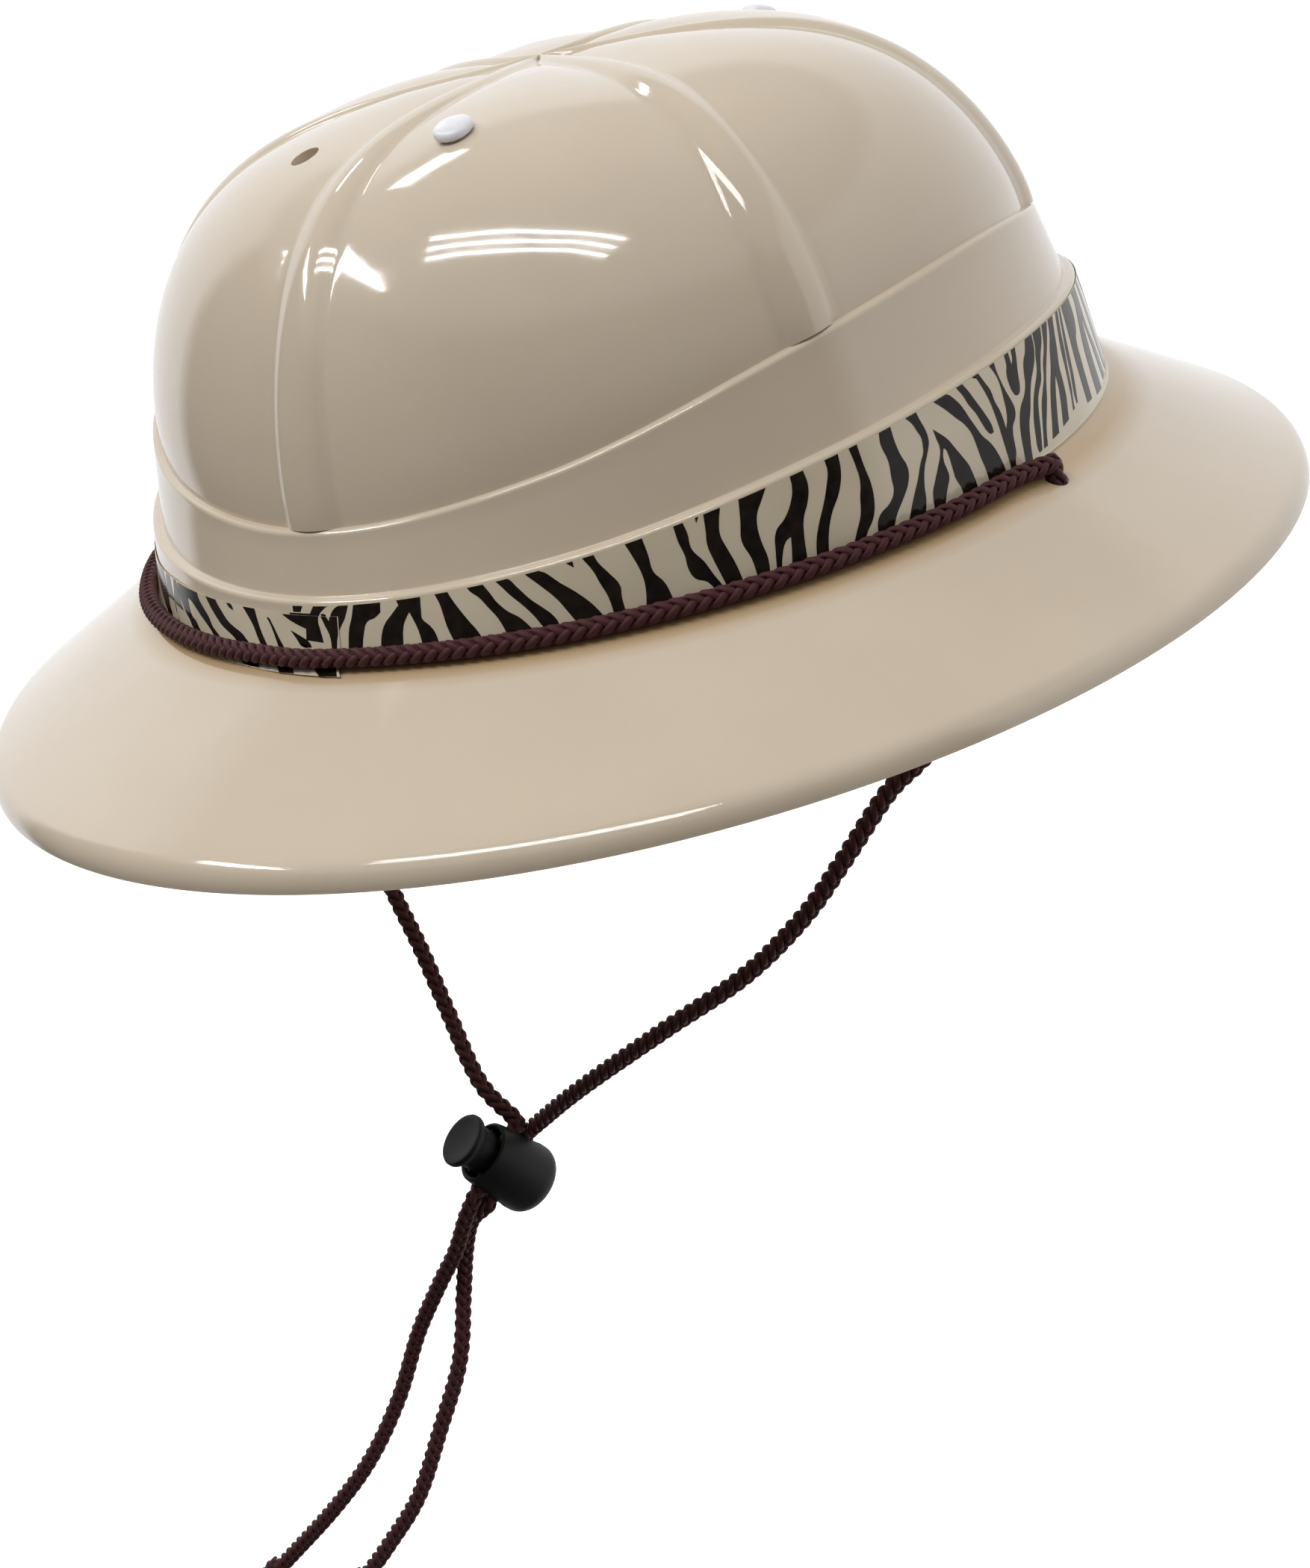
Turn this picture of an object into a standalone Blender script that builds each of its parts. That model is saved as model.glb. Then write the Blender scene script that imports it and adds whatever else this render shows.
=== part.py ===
"""A moulded plastic pith helmet: a ribbed crown over two stepped bands, a sloping brim with a rolled rim,
a printed film strip, rivets for the head band, and a braided chin cord with a sprung cord lock.
Metres, +Z up, the front towards -Y, the origin in the head opening level with the brim's root."""
import math

import bmesh
import bpy
from mathutils import Matrix, Vector

CLEARANCE = 0.0003
MERGE_DISTANCE = 0.00001

# Brim
BRIM_LENGTH = 0.290
BRIM_WIDTH = 0.2865
BRIM_FORWARD = 0.0045
BRIM_DROP_FRONT = 0.0225
BRIM_DROP_BACK = 0.0255
RIM_ROLL = 0.0055
RIM_TURN = math.radians(64)
ROOT_FILLET = 0.0012

# Crown and the two moulded bands below it
CROWN_WIDTH = 0.2104
CROWN_LENGTH = 0.2028
CROWN_HEIGHT = 0.0840
WALL = 0.0020
LOWER_BAND_HEIGHT = 0.0230
LOWER_BAND_LEAN = 0.0028
UPPER_BAND_HEIGHT = 0.0190
UPPER_BAND_LEAN = 0.0032
BAND_STEP = 0.0023
LIP_RADIUS = 0.0011
DOME_SQUARENESS = 4.1
DOME_STEEPNESS = 1.45
APEX_BACK = 0.0062
APEX_BACK_TURN = 1.5
RIB_HEIGHT = 0.0018
RIB_CORE = 0.0030
RIB_SPREAD = 0.0080
PANEL_BULGE = 0.0020
PANEL_FULLNESS = 0.8
LOWER_INSET = 0.0
UPPER_INSET = LOWER_BAND_LEAN + BAND_STEP
DOME_INSET = UPPER_INSET + UPPER_BAND_LEAN + BAND_STEP

# How high the bands stand round the helmet: degrees from the front, and each band's height there as a
# share of its full height at the side
BAND_TABLE = (
    (0, 0.452, 0.605),
    (30, 0.570, 0.732),
    (60, 0.817, 0.968),
    (90, 0.987, 1.005),
    (120, 0.957, 0.760),
    (150, 0.813, 0.480),
    (180, 0.735, 0.400),
)

# The dome from its foot to the apex: distance from the axis and bulge of the panels between the ribs, as
# shares of the foot's radius and of PANEL_BULGE
DOME_TABLE = (
    (1.000, 0.30),
    (0.988, 0.45),
    (0.960, 0.60),
    (0.915, 0.75),
    (0.850, 0.90),
    (0.765, 1.00),
    (0.660, 1.00),
    (0.540, 0.95),
    (0.415, 0.85),
    (0.290, 0.70),
    (0.175, 0.45),
    (0.075, 0.20),
)

RIB_COUNT = 6
COLUMNS_PER_RIB = 9
COLUMN_CROWDING = 0.75
RIB_SIDE_SHIFT = math.radians(3.5)
RIM_ROWS = 4
BRIM_SHARES = (0.22, 0.50, 0.78, 1.0)
LIP_TURNS = (0, 45, 90)

# Suspension holes, three of them riveted: degrees from the front and distance from the crown's axis
SUSPENSION_HOLES = {"front_right": (21.7, 0.0521), "rear_right": (160.5, 0.0588)}
SUSPENSION_HOLE = 0.0062
DRILL_DEPTH = 0.0160
HOLE_SIDES = 16
SLOPE_STEP = 0.01
RIVET_HEAD = 0.0076
RIVET_HEAD_HEIGHT = 0.0028
RIVET_FLANGE = 0.0090
RIVET_FLANGE_THICKNESS = 0.0012
RIVET_TURNS = (25, 50, 72, 90)
RIVET_SIDES = 16

# Printed film strip round the lower band
FILM_THICKNESS = 0.0003
FILM_TOP_MARGIN = 0.0008
FILM_BOTTOM = 0.0014
FILM_START = math.radians(-2.5)
FILM_OVERLAP = 0.0125
FILM_RAMP = math.radians(4)
FILM_COLUMNS = 96

# Braided cord, its holes in the brim and its route
CORD = 0.0035
CORD_HOLE = 0.0050
CORD_HOLE_ANGLE = math.radians(85)
CORD_HOLE_OUT = 0.0045
CORD_POINT_SPACING = 0.0080
ROUTE_STEPS = 24
CROOK_HEIGHT = 0.0016
CROOK_STEPS = 24
HOLE_LEAD = math.radians(5)
HOLE_DROP = 0.0030
HOLE_RISE = 0.0009
BELOW_HOLE = 0.0040
KNOT_WIDTH = 0.0095
KNOT_DEPTH = 0.0081
KNOT_LENGTH = 0.0120

# Cord lock: a barrel with a slot for two strands across it, and a sprung plunger
LOCK_CENTRE = Vector((-0.0308, -0.0675, -0.1451))
LOCK_AXIS = Vector((-0.261, -0.511, 0.819)).normalized()
LOCK_CORD_WAY = Vector((-0.224, -0.794, -0.566))
LOCK_TRAVEL = 0.0025
BARREL_MOUTH = 0.0144
BARREL_WIDEST = 0.0166
BARREL_LENGTH = 0.0180
BARREL_BORE = 0.0124
BARREL_FLOOR = 0.0018
BARREL_EDGE = 0.0040
BARREL_LIP = 0.0006
LANES_DEPTH = 0.0064
BARREL_SLOT_START = 0.0019
BARREL_SLOT_END = 0.0128
SLOT_MARGIN = 0.0006
SLOT_ROUNDING = 0.45
SLOT_STEPS = 4
BARREL_EDGE_TURNS = (0, 30, 60, 85)
LOCK_SIDES = 24
LANE = (CORD + CLEARANCE * 2) / 2
LANE_REACH = 0.0100
PINCH_REACH = LANE + CORD / 2 + CLEARANCE
BORE_DEPTH = BARREL_LENGTH - BARREL_FLOOR
PLUNGER_CAP = 0.0128
PLUNGER_CAP_EDGE = 0.0014
PLUNGER_NECK = 0.0100
PLUNGER_OUT = 0.0067

# The barrel's flank below its lip: depth as a share of its length, radius as a share of its widest
BARREL_TABLE = ((0.06, 0.875), (0.35, 0.970), (0.60, 1.000))

# The plunger's flared cap from the middle of its face to the neck: radius as a share of the cap's, and
# depth below the face in cap edges
CAP_TABLE = ((0.60, 0.25), (0.95, 0.0), (1.00, 0.3), (1.00, 1.0), (0.86, 1.9))
CAP_DEPTH = 3.0

# The strands' routes, chosen by hand. Each runs from its hole in the brim to the cord lock, and on from
# the lock to its knot.
RIGHT_STRAND = (
    (0.104, -0.018, -0.023), (0.092, -0.024, -0.040), (0.081, -0.029, -0.052), (0.073, -0.032, -0.059),
    (0.063, -0.038, -0.072), (0.053, -0.043, -0.084), (0.038, -0.048, -0.097), (0.017, -0.054, -0.110),
    (-0.009, -0.058, -0.127),
)
LEFT_STRAND = (
    (-0.103, -0.017, -0.022), (-0.091, -0.028, -0.050), (-0.077, -0.037, -0.072), (-0.064, -0.045, -0.089),
    (-0.055, -0.050, -0.101), (-0.047, -0.055, -0.114), (-0.037, -0.061, -0.128),
)
RIGHT_TAIL = (
    (-0.0381, -0.0755, -0.1571), (-0.0421, -0.0767, -0.1660), (-0.0440, -0.0795, -0.1760),
    (-0.0445, -0.0869, -0.1910), (-0.0511, -0.0941, -0.2082), (-0.0588, -0.1008, -0.2255),
    (-0.0690, -0.1065, -0.2393), (-0.0775, -0.1108, -0.2495),
)
LEFT_TAIL = (
    (-0.0366, -0.0784, -0.1544), (-0.0412, -0.0804, -0.1632), (-0.0479, -0.0824, -0.1725),
    (-0.0573, -0.0858, -0.1869), (-0.0651, -0.0919, -0.2042), (-0.0746, -0.0989, -0.2202),
    (-0.0876, -0.1054, -0.2352), (-0.1081, -0.1132, -0.2550),
)

# Colours as linear red, green and blue, with roughness
CREAM_PLASTIC = ((0.56, 0.47, 0.36), 0.25)
FILM_PRINT = ((0.30, 0.26, 0.20), 0.20)
WHITE_PLASTIC = ((0.72, 0.71, 0.80), 0.30)
BROWN_CORD = ((0.045, 0.020, 0.020), 0.75)
BLACK_PLASTIC = ((0.010, 0.010, 0.010), 0.55)

for old in list(bpy.data.objects):
    bpy.data.objects.remove(old, do_unlink=True)
helmet = bpy.data.collections.new("pith_helmet")
cutters = bpy.data.collections.new("cutters")
bpy.context.scene.collection.children.link(helmet)
bpy.context.scene.collection.children.link(cutters)


def material(name, finish):
    colour, roughness = finish
    made = bpy.data.materials.new(name)
    made.use_nodes = True
    shader = made.node_tree.nodes["Principled BSDF"]
    shader.inputs["Base Color"].default_value = (*colour, 1.0)
    shader.inputs["Roughness"].default_value = roughness
    return made


MATERIALS = {
    "shell": material("cream_plastic", CREAM_PLASTIC),
    "film": material("printed_film", FILM_PRINT),
    "rivet": material("white_plastic", WHITE_PLASTIC),
    "cord": material("brown_cord", BROWN_CORD),
    "lock": material("black_plastic", BLACK_PLASTIC),
}


def add_object(name, data, finish):
    """A named piece of the helmet with its material."""
    piece = bpy.data.objects.new(name, data)
    helmet.objects.link(piece)
    piece.data.materials.append(MATERIALS[finish])
    return piece


def as_cutter(piece):
    helmet.objects.unlink(piece)
    cutters.objects.link(piece)
    piece.hide_render = True
    piece.display_type = "WIRE"
    return piece


def mesh_from(name, bm):
    mesh = bpy.data.meshes.new(name)
    bm.to_mesh(mesh)
    bm.free()
    return mesh


def smooth(share):
    """Zero to one with level ends."""
    share = min(max(share, 0.0), 1.0)
    return share * share * (3 - 2 * share)


def band_share(angle, column):
    """A column of BAND_TABLE at any angle, on a smooth curve mirrored about the front and the back."""
    degrees = abs((math.degrees(angle) + 180) % 360 - 180)
    step = BAND_TABLE[1][0]
    last = len(BAND_TABLE) - 1
    first = min(int(degrees / step), last - 1)
    mirrored = [BAND_TABLE[last - abs(last - abs(first + k))][column] for k in (-1, 0, 1, 2)]
    before, start, end, after = mirrored
    t = degrees / step - first
    return 0.5 * (2 * start + (end - before) * t + (2 * before - 5 * start + 4 * end - after) * t ** 2
                  + (3 * start - before - 3 * end + after) * t ** 3)


def oval(angle, width, length, inset):
    return Vector(((width / 2 - inset) * math.sin(angle), -(length / 2 - inset) * math.cos(angle), 0))


def crown_oval(angle, inset, height):
    return oval(angle, CROWN_WIDTH, CROWN_LENGTH, inset) + Vector((0, 0, height))


def brim_oval(angle, inset, height):
    return oval(angle, BRIM_WIDTH, BRIM_LENGTH, inset) + Vector((0, -BRIM_FORWARD, height))


def lower_top(angle):
    return LOWER_BAND_HEIGHT * band_share(angle, 1)


def upper_top(angle):
    return lower_top(angle) + UPPER_BAND_HEIGHT * band_share(angle, 2)


def rim_point(angle, share):
    """On the rim's roll, from its lower edge to where it meets the brim."""
    turn = share * RIM_TURN
    drop = BRIM_DROP_FRONT + (BRIM_DROP_BACK - BRIM_DROP_FRONT) * smooth((1 - math.cos(angle)) / 2)
    return brim_oval(angle, RIM_ROLL * (1 - math.cos(turn)), RIM_ROLL * math.sin(turn) - drop)


def brim_point(angle, share):
    """On the brim's sloping top, from the roll to the root."""
    root = crown_oval(angle, -ROOT_FILLET, 0)
    return rim_point(angle, 1).lerp(root, share)


def band_rows(bottom, top, inset, lean):
    """The rows of one band: its foot, its face, its rounded lip and the ledge behind it."""
    def foot(angle, share):
        return crown_oval(angle, inset, bottom(angle))

    def lip(angle, turn):
        turn = math.radians(turn)
        into = inset + lean + LIP_RADIUS * (1 - math.cos(turn))
        return crown_oval(angle, into, top(angle) - LIP_RADIUS * (1 - math.sin(turn)))

    return [(foot, 0)] + [(lip, turn) for turn in LIP_TURNS]


def root_height(angle):
    return ROOT_FILLET


def dome_point(angle, share):
    """On the dome's bare form, before its ribs and bulging panels: share is the distance from the axis."""
    rise = max(0.0, 1 - share ** DOME_SQUARENESS) ** (1 / DOME_STEEPNESS)
    foot = upper_top(angle)
    point = crown_oval(angle, DOME_INSET, 0) * share
    back = APEX_BACK * max(0.0, 1 - share) ** APEX_BACK_TURN
    return point + Vector((0, back, foot + (CROWN_HEIGHT - foot) * rise))


def shell_rows():
    """Every row of the shell's outer face from the rim to the dome's last ring, as function and share."""
    rows = [(rim_point, row / (RIM_ROWS - 1)) for row in range(RIM_ROWS)]
    rows += [(brim_point, share) for share in BRIM_SHARES]
    rows += band_rows(root_height, lower_top, LOWER_INSET, LOWER_BAND_LEAN)
    rows += band_rows(lower_top, upper_top, UPPER_INSET, UPPER_BAND_LEAN)
    rows += [(dome_point, share) for share, bulge in DOME_TABLE]
    return rows


def column_angle(turn):
    """Crowds the columns at the ribs, and brings the side ribs nearer to the helmet's sides."""
    crowded = turn - COLUMN_CROWDING / RIB_COUNT * math.sin(RIB_COUNT * turn)
    return crowded, crowded + RIB_SIDE_SHIFT * math.sin(2 * crowded)


def dome_lift(even_angle, radius, bulge):
    """How far the ribs and the bulging panels stand off the dome's bare form."""
    pitch = 2 * math.pi / RIB_COUNT
    off_rib = abs((even_angle + pitch / 2) % pitch - pitch / 2)
    across = radius * math.sin(off_rib)
    rib = RIB_HEIGHT * smooth((RIB_SPREAD - across) / (RIB_SPREAD - RIB_CORE))
    panel = PANEL_BULGE * bulge * math.sin(math.pi * off_rib / pitch) ** PANEL_FULLNESS
    return max(rib, panel)


def make_shell():
    """One row of vertices spun round the axis, then moved onto the helmet's form and given its wall."""
    rows = shell_rows()
    columns = RIB_COUNT * COLUMNS_PER_RIB
    dome_start = len(rows) - len(DOME_TABLE)
    bm = bmesh.new()
    line = [bm.verts.new((0, -1, row)) for row in range(len(rows))]
    edges = [bm.edges.new(pair) for pair in zip(line, line[1:])]
    bmesh.ops.spin(bm, geom=line + edges, cent=(0, 0, 0), axis=(0, 0, 1), angle=2 * math.pi,
                   steps=columns, use_merge=True)
    top_ring = [edge for edge in bm.edges if all(round(v.co.z) == len(rows) - 1 for v in edge.verts)]
    bm.normal_update()
    places = {}
    for vert in bm.verts:
        row = round(vert.co.z)
        even, angle = column_angle(math.atan2(vert.co.x, -vert.co.y))
        places[vert] = (row, even)
        function, share = rows[row]
        vert.co = function(angle, share)
    cap = bmesh.ops.contextual_create(bm, geom=top_ring)["faces"]
    apex = bmesh.ops.poke(bm, faces=cap)["verts"][0]
    apex.co = dome_point(0, 0)
    bmesh.ops.recalc_face_normals(bm, faces=bm.faces)
    lifts = {}
    for vert, (row, even) in places.items():
        if row >= dome_start:
            bulge = DOME_TABLE[row - dome_start][1]
            radius = math.hypot(vert.co.x, vert.co.y)
            lifts[vert] = vert.normal * dome_lift(even, radius, bulge)
    lifts[apex] = Vector((0, 0, RIB_HEIGHT))
    for vert, lift in lifts.items():
        vert.co += lift
    shell = add_object("helmet_shell", mesh_from("helmet_shell", bm), "shell")
    wall = shell.modifiers.new("wall", "SOLIDIFY")
    wall.thickness = WALL
    wall.offset = -1
    return shell


def dome_place(degrees, distance):
    """The dome's surface at an angle and distance from the axis: the point and its outward normal."""
    angle = math.radians(degrees)
    step = math.radians(1)
    reach = crown_oval(angle, DOME_INSET, 0).length
    share = distance / reach

    def raised(at, part):
        return dome_point(at, part) + Vector((0, 0, PANEL_BULGE))

    point = raised(angle, share)
    across = raised(angle + step, share) - raised(angle - step, share)
    down = raised(angle, share + SLOPE_STEP) - raised(angle, share - SLOPE_STEP)
    normal = down.cross(across).normalized()
    return point, normal if normal.z > 0 else -normal


def turned(name, profile, finish, sides):
    """A profile of radius and height turned round the Z axis, listed from the top down."""
    bm = bmesh.new()
    line = [bm.verts.new((radius, 0, height)) for radius, height in profile]
    for pair in zip(line, line[1:]):
        bm.edges.new(pair)
    piece = add_object(name, mesh_from(name, bm), finish)
    screw = piece.modifiers.new("turn", "SCREW")
    screw.steps = screw.render_steps = sides
    screw.use_merge_vertices = True
    screw.merge_threshold = MERGE_DISTANCE
    screw.use_smooth_shade = True
    return piece


def place(piece, point, normal):
    turn = normal.to_track_quat("Z", "Y").to_matrix().to_4x4()
    piece.matrix_world = Matrix.Translation(point) @ turn
    return piece


def cylinder(name, radius, depth, sides):
    bm = bmesh.new()
    bmesh.ops.create_cone(bm, cap_ends=True, segments=sides, radius1=radius, radius2=radius, depth=depth)
    return as_cutter(add_object(name, mesh_from(name, bm), "shell"))


def cut(piece, cutter):
    boolean = piece.modifiers.new(cutter.name, "BOOLEAN")
    boolean.operation = "DIFFERENCE"
    boolean.object = cutter


def suspension_places():
    """Name, point and normal of the four holes, mirrored from the two on the right."""
    for name, (degrees, distance) in SUSPENSION_HOLES.items():
        yield (name, *dome_place(degrees, distance))
        yield (name.replace("right", "left"), *dome_place(-degrees, distance))


def make_rivet(name, point, normal):
    """A domed head outside, a shank through the hole and a flat flange inside."""
    head = RIVET_HEAD / 2
    shank = SUSPENSION_HOLE / 2 - CLEARANCE
    seat = CLEARANCE * 2
    inside = -WALL - CLEARANCE * 3
    profile = [(0, seat + RIVET_HEAD_HEIGHT)]
    for degrees in RIVET_TURNS:
        turn = math.radians(degrees)
        profile.append((head * math.sin(turn), seat + RIVET_HEAD_HEIGHT * math.cos(turn)))
    profile += [(shank, seat), (shank, inside), (RIVET_FLANGE / 2, inside),
                (RIVET_FLANGE / 2, inside - RIVET_FLANGE_THICKNESS), (0, inside - RIVET_FLANGE_THICKNESS)]
    return place(turned("rivet_" + name, profile, "rivet", RIVET_SIDES), point, normal)


def cord_hole_centre(side):
    return crown_oval(side * CORD_HOLE_ANGLE, -CORD_HOLE_OUT, 0)


def film_inset(angle, height):
    """How far inside the crown's oval the lower band's face lies at a height."""
    face = lower_top(angle) - LIP_RADIUS - ROOT_FILLET
    return LOWER_BAND_LEAN * (height - ROOT_FILLET) / face


def make_film():
    """The strip starts at the front, runs once round the lower band and laps over its own start."""
    lap = FILM_OVERLAP / (CROWN_LENGTH / 2)
    length = 2 * math.pi + lap
    layer = FILM_THICKNESS + CLEARANCE
    bm = bmesh.new()
    line = [bm.verts.new((0, 0, share)) for share in (0, 1)]
    edge = bm.edges.new(line)
    grown = [edge]
    for column in range(1, FILM_COLUMNS + 1):
        made = bmesh.ops.extrude_edge_only(bm, edges=grown)["geom"]
        moved = [item for item in made if isinstance(item, bmesh.types.BMVert)]
        bmesh.ops.translate(bm, verts=moved, vec=(1, 0, 0))
        grown = [item for item in made if isinstance(item, bmesh.types.BMEdge)]
    for vert in bm.verts:
        angle = FILM_START + length * vert.co.x / FILM_COLUMNS
        lifted = smooth((angle - FILM_START - 2 * math.pi + FILM_RAMP) / FILM_RAMP)
        top = lower_top(angle) - FILM_TOP_MARGIN
        height = FILM_BOTTOM + (top - FILM_BOTTOM) * vert.co.z
        inset = film_inset(angle, height) - CLEARANCE - layer * lifted
        vert.co = crown_oval(angle, inset, height)
    bmesh.ops.recalc_face_normals(bm, faces=bm.faces)
    outward = sum(face.normal.dot(face.calc_center_median()) for face in bm.faces)
    if outward < 0:
        bmesh.ops.reverse_faces(bm, faces=bm.faces)
    film = add_object("zebra_band", mesh_from("zebra_band", bm), "film")
    wall = film.modifiers.new("thickness", "SOLIDIFY")
    wall.thickness = FILM_THICKNESS
    wall.offset = 1
    return film


def smooth_route(points, spacing):
    """Points at even spacing along a smooth curve through the route's own points."""
    ends = [2 * points[0] - points[1], *points, 2 * points[-1] - points[-2]]
    fine = []
    for before, start, end, after in zip(ends, ends[1:], ends[2:], ends[3:]):
        for step in range(ROUTE_STEPS):
            t = step / ROUTE_STEPS
            fine.append(0.5 * (2 * start + (end - before) * t
                               + (2 * before - 5 * start + 4 * end - after) * t ** 2
                               + (3 * start - before - 3 * end + after) * t ** 3))
    fine.append(points[-1])
    travelled = [0.0]
    for a, b in zip(fine, fine[1:]):
        travelled.append(travelled[-1] + (b - a).length)
    count = max(2, round(travelled[-1] / spacing))
    even = []
    index = 0
    for step in range(count + 1):
        target = travelled[-1] * step / count
        while index < len(fine) - 2 and travelled[index + 1] < target:
            index += 1
        span = travelled[index + 1] - travelled[index]
        even.append(fine[index].lerp(fine[index + 1], (target - travelled[index]) / span))
    return even


def make_cord(name, route):
    curve = bpy.data.curves.new(name, "CURVE")
    curve.dimensions = "3D"
    curve.bevel_depth = CORD / 2
    curve.bevel_resolution = 2
    curve.use_fill_caps = True
    spline = curve.splines.new("POLY")
    spline.points.add(len(route) - 1)
    for point, place_on_route in zip(spline.points, route):
        point.co = (*place_on_route, 1)
    return add_object(name, curve, "cord")


def lap_layers(angle):
    """How many layers of film lie under the cord: two over the lap and one elsewhere."""
    lap = FILM_OVERLAP / (CROWN_LENGTH / 2)
    beyond = abs(angle - FILM_START - lap / 2) - lap / 2
    return 1 + smooth(1 - beyond / FILM_RAMP)


def make_crown_cord():
    """Lies in the crook of band and brim, from one hole round the front to the other."""
    right, left = cord_hole_centre(1), cord_hole_centre(-1)
    low, high = Vector((0, 0, -HOLE_DROP)), Vector((0, 0, HOLE_RISE))
    crook = []
    reach = CORD_HOLE_ANGLE - HOLE_LEAD
    for step in range(CROOK_STEPS + 1):
        angle = reach * (1 - 2 * step / CROOK_STEPS)
        out = (FILM_THICKNESS + CLEARANCE) * lap_layers(angle) + CLEARANCE + CORD / 2
        crook.append(crown_oval(angle, -out, CROOK_HEIGHT))
    lying = smooth_route([right + high, *crook, left + high], CORD_POINT_SPACING)
    return make_cord("crown_cord", [right + low, *lying, left + low])


def make_knot(name, points):
    """A closed overhand knot at a tail's end, drawn tight into one lump on the cord's line."""
    end = points[-1]
    way = (points[-1] - points[-2]).normalized()
    bm = bmesh.new()
    bmesh.ops.create_uvsphere(bm, u_segments=12, v_segments=8, radius=0.5)
    bmesh.ops.scale(bm, verts=bm.verts, vec=(KNOT_WIDTH, KNOT_DEPTH, KNOT_LENGTH))
    knot = add_object(name, mesh_from(name, bm), "cord")
    return place(knot, end + way * (KNOT_LENGTH / 2 + CLEARANCE), way)


def make_chin_cord(side, strand, tail, lane):
    """From its hole in the brim, through its lane in the lock, to its knot."""
    name = "right" if side > 0 else "left"
    hole = cord_hole_centre(side)
    start = hole + Vector((0, 0, -HOLE_DROP - CLEARANCE))
    below_hole = start + Vector((0, 0, -BELOW_HOLE))
    lane_centre = LOCK_CENTRE + LOCK_AXIS * lane
    entry = lane_centre - cord_way() * LANE_REACH
    leaving = lane_centre + cord_way() * LANE_REACH
    above = [below_hole, *map(Vector, strand), entry]
    below = [leaving, *map(Vector, tail)]
    route = [start] + smooth_route(above, CORD_POINT_SPACING) + smooth_route(below, CORD_POINT_SPACING)
    make_cord("chin_cord_" + name, route)
    return make_knot("knot_" + name, route)


def cord_way():
    """The way the strands run through the lock, square to its axis."""
    return (LOCK_CORD_WAY - LOCK_AXIS * LOCK_CORD_WAY.dot(LOCK_AXIS)).normalized()


def lock_frame(depth):
    """Stands a piece on the lock's axis, its own Z towards the cap and its Y along the cords' way."""
    way = cord_way()
    side = way.cross(LOCK_AXIS)
    frame = Matrix((side, way, LOCK_AXIS)).transposed().to_4x4()
    return Matrix.Translation(LOCK_CENTRE + LOCK_AXIS * (LANES_DEPTH - depth)) @ frame


def slot_cutter(name, start, end):
    """A long hole with round ends, straight across the lock, between two depths below the mouth."""
    length, width, depth = end - start, CORD + 2 * SLOT_MARGIN, BARREL_WIDEST * 2
    bm = bmesh.new()
    bmesh.ops.create_cube(bm, size=1)
    bmesh.ops.scale(bm, verts=bm.verts, vec=(width, depth, length))
    across = [edge for edge in bm.edges if abs(edge.verts[0].co.y - edge.verts[1].co.y) > depth / 2]
    bmesh.ops.bevel(bm, geom=across, offset=width * SLOT_ROUNDING, segments=SLOT_STEPS, profile=0.5,
                    affect="EDGES")
    cutter = as_cutter(add_object(name, mesh_from(name, bm), "lock"))
    cutter.matrix_world = lock_frame((start + end) / 2)
    return cutter


def make_barrel():
    """Turned, open at the mouth, with a round closed end and a slot through both sides."""
    mouth, widest, bore = BARREL_MOUTH / 2, BARREL_WIDEST / 2, BARREL_BORE / 2
    profile = [(bore, -BARREL_LIP), (bore + BARREL_LIP, 0), (mouth, -BARREL_LIP)]
    profile += [(widest * share, -BARREL_LENGTH * depth) for depth, share in BARREL_TABLE]
    for degrees in BARREL_EDGE_TURNS:
        turn = math.radians(degrees)
        profile.append((widest - BARREL_EDGE * (1 - math.cos(turn)),
                        BARREL_EDGE * (1 - math.sin(turn)) - BARREL_LENGTH))
    profile += [(0, -BARREL_LENGTH)]
    inner = [(0, -BORE_DEPTH), (bore, -BORE_DEPTH), (bore, -BARREL_LIP)]
    barrel = turned("toggle_barrel", profile + inner, "lock", LOCK_SIDES)
    barrel.matrix_world = lock_frame(0)
    cut(barrel, slot_cutter("barrel_slot", BARREL_SLOT_START, BARREL_SLOT_END))
    return barrel


def make_plunger():
    """A flared cap on a neck, and a body in the bore with a slot long enough for the plunger's travel."""
    cap, neck, body = PLUNGER_CAP / 2, PLUNGER_NECK / 2, BARREL_BORE / 2 - CLEARANCE
    shoulder = -BARREL_LIP - CLEARANCE
    end = LOCK_TRAVEL + CLEARANCE - BORE_DEPTH
    profile = [(0, PLUNGER_OUT - PLUNGER_CAP_EDGE * CAP_TABLE[0][1])]
    profile += [(cap * share, PLUNGER_OUT - PLUNGER_CAP_EDGE * depth) for share, depth in CAP_TABLE]
    profile += [(neck, PLUNGER_OUT - PLUNGER_CAP_EDGE * CAP_DEPTH), (neck, shoulder), (body, shoulder),
                (body, end), (0, end)]
    plunger = turned("toggle_plunger", profile, "lock", LOCK_SIDES)
    plunger.matrix_world = lock_frame(0)
    start = LANES_DEPTH - PINCH_REACH - LOCK_TRAVEL
    cut(plunger, slot_cutter("plunger_slot", start, LANES_DEPTH + PINCH_REACH))
    return plunger


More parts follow.
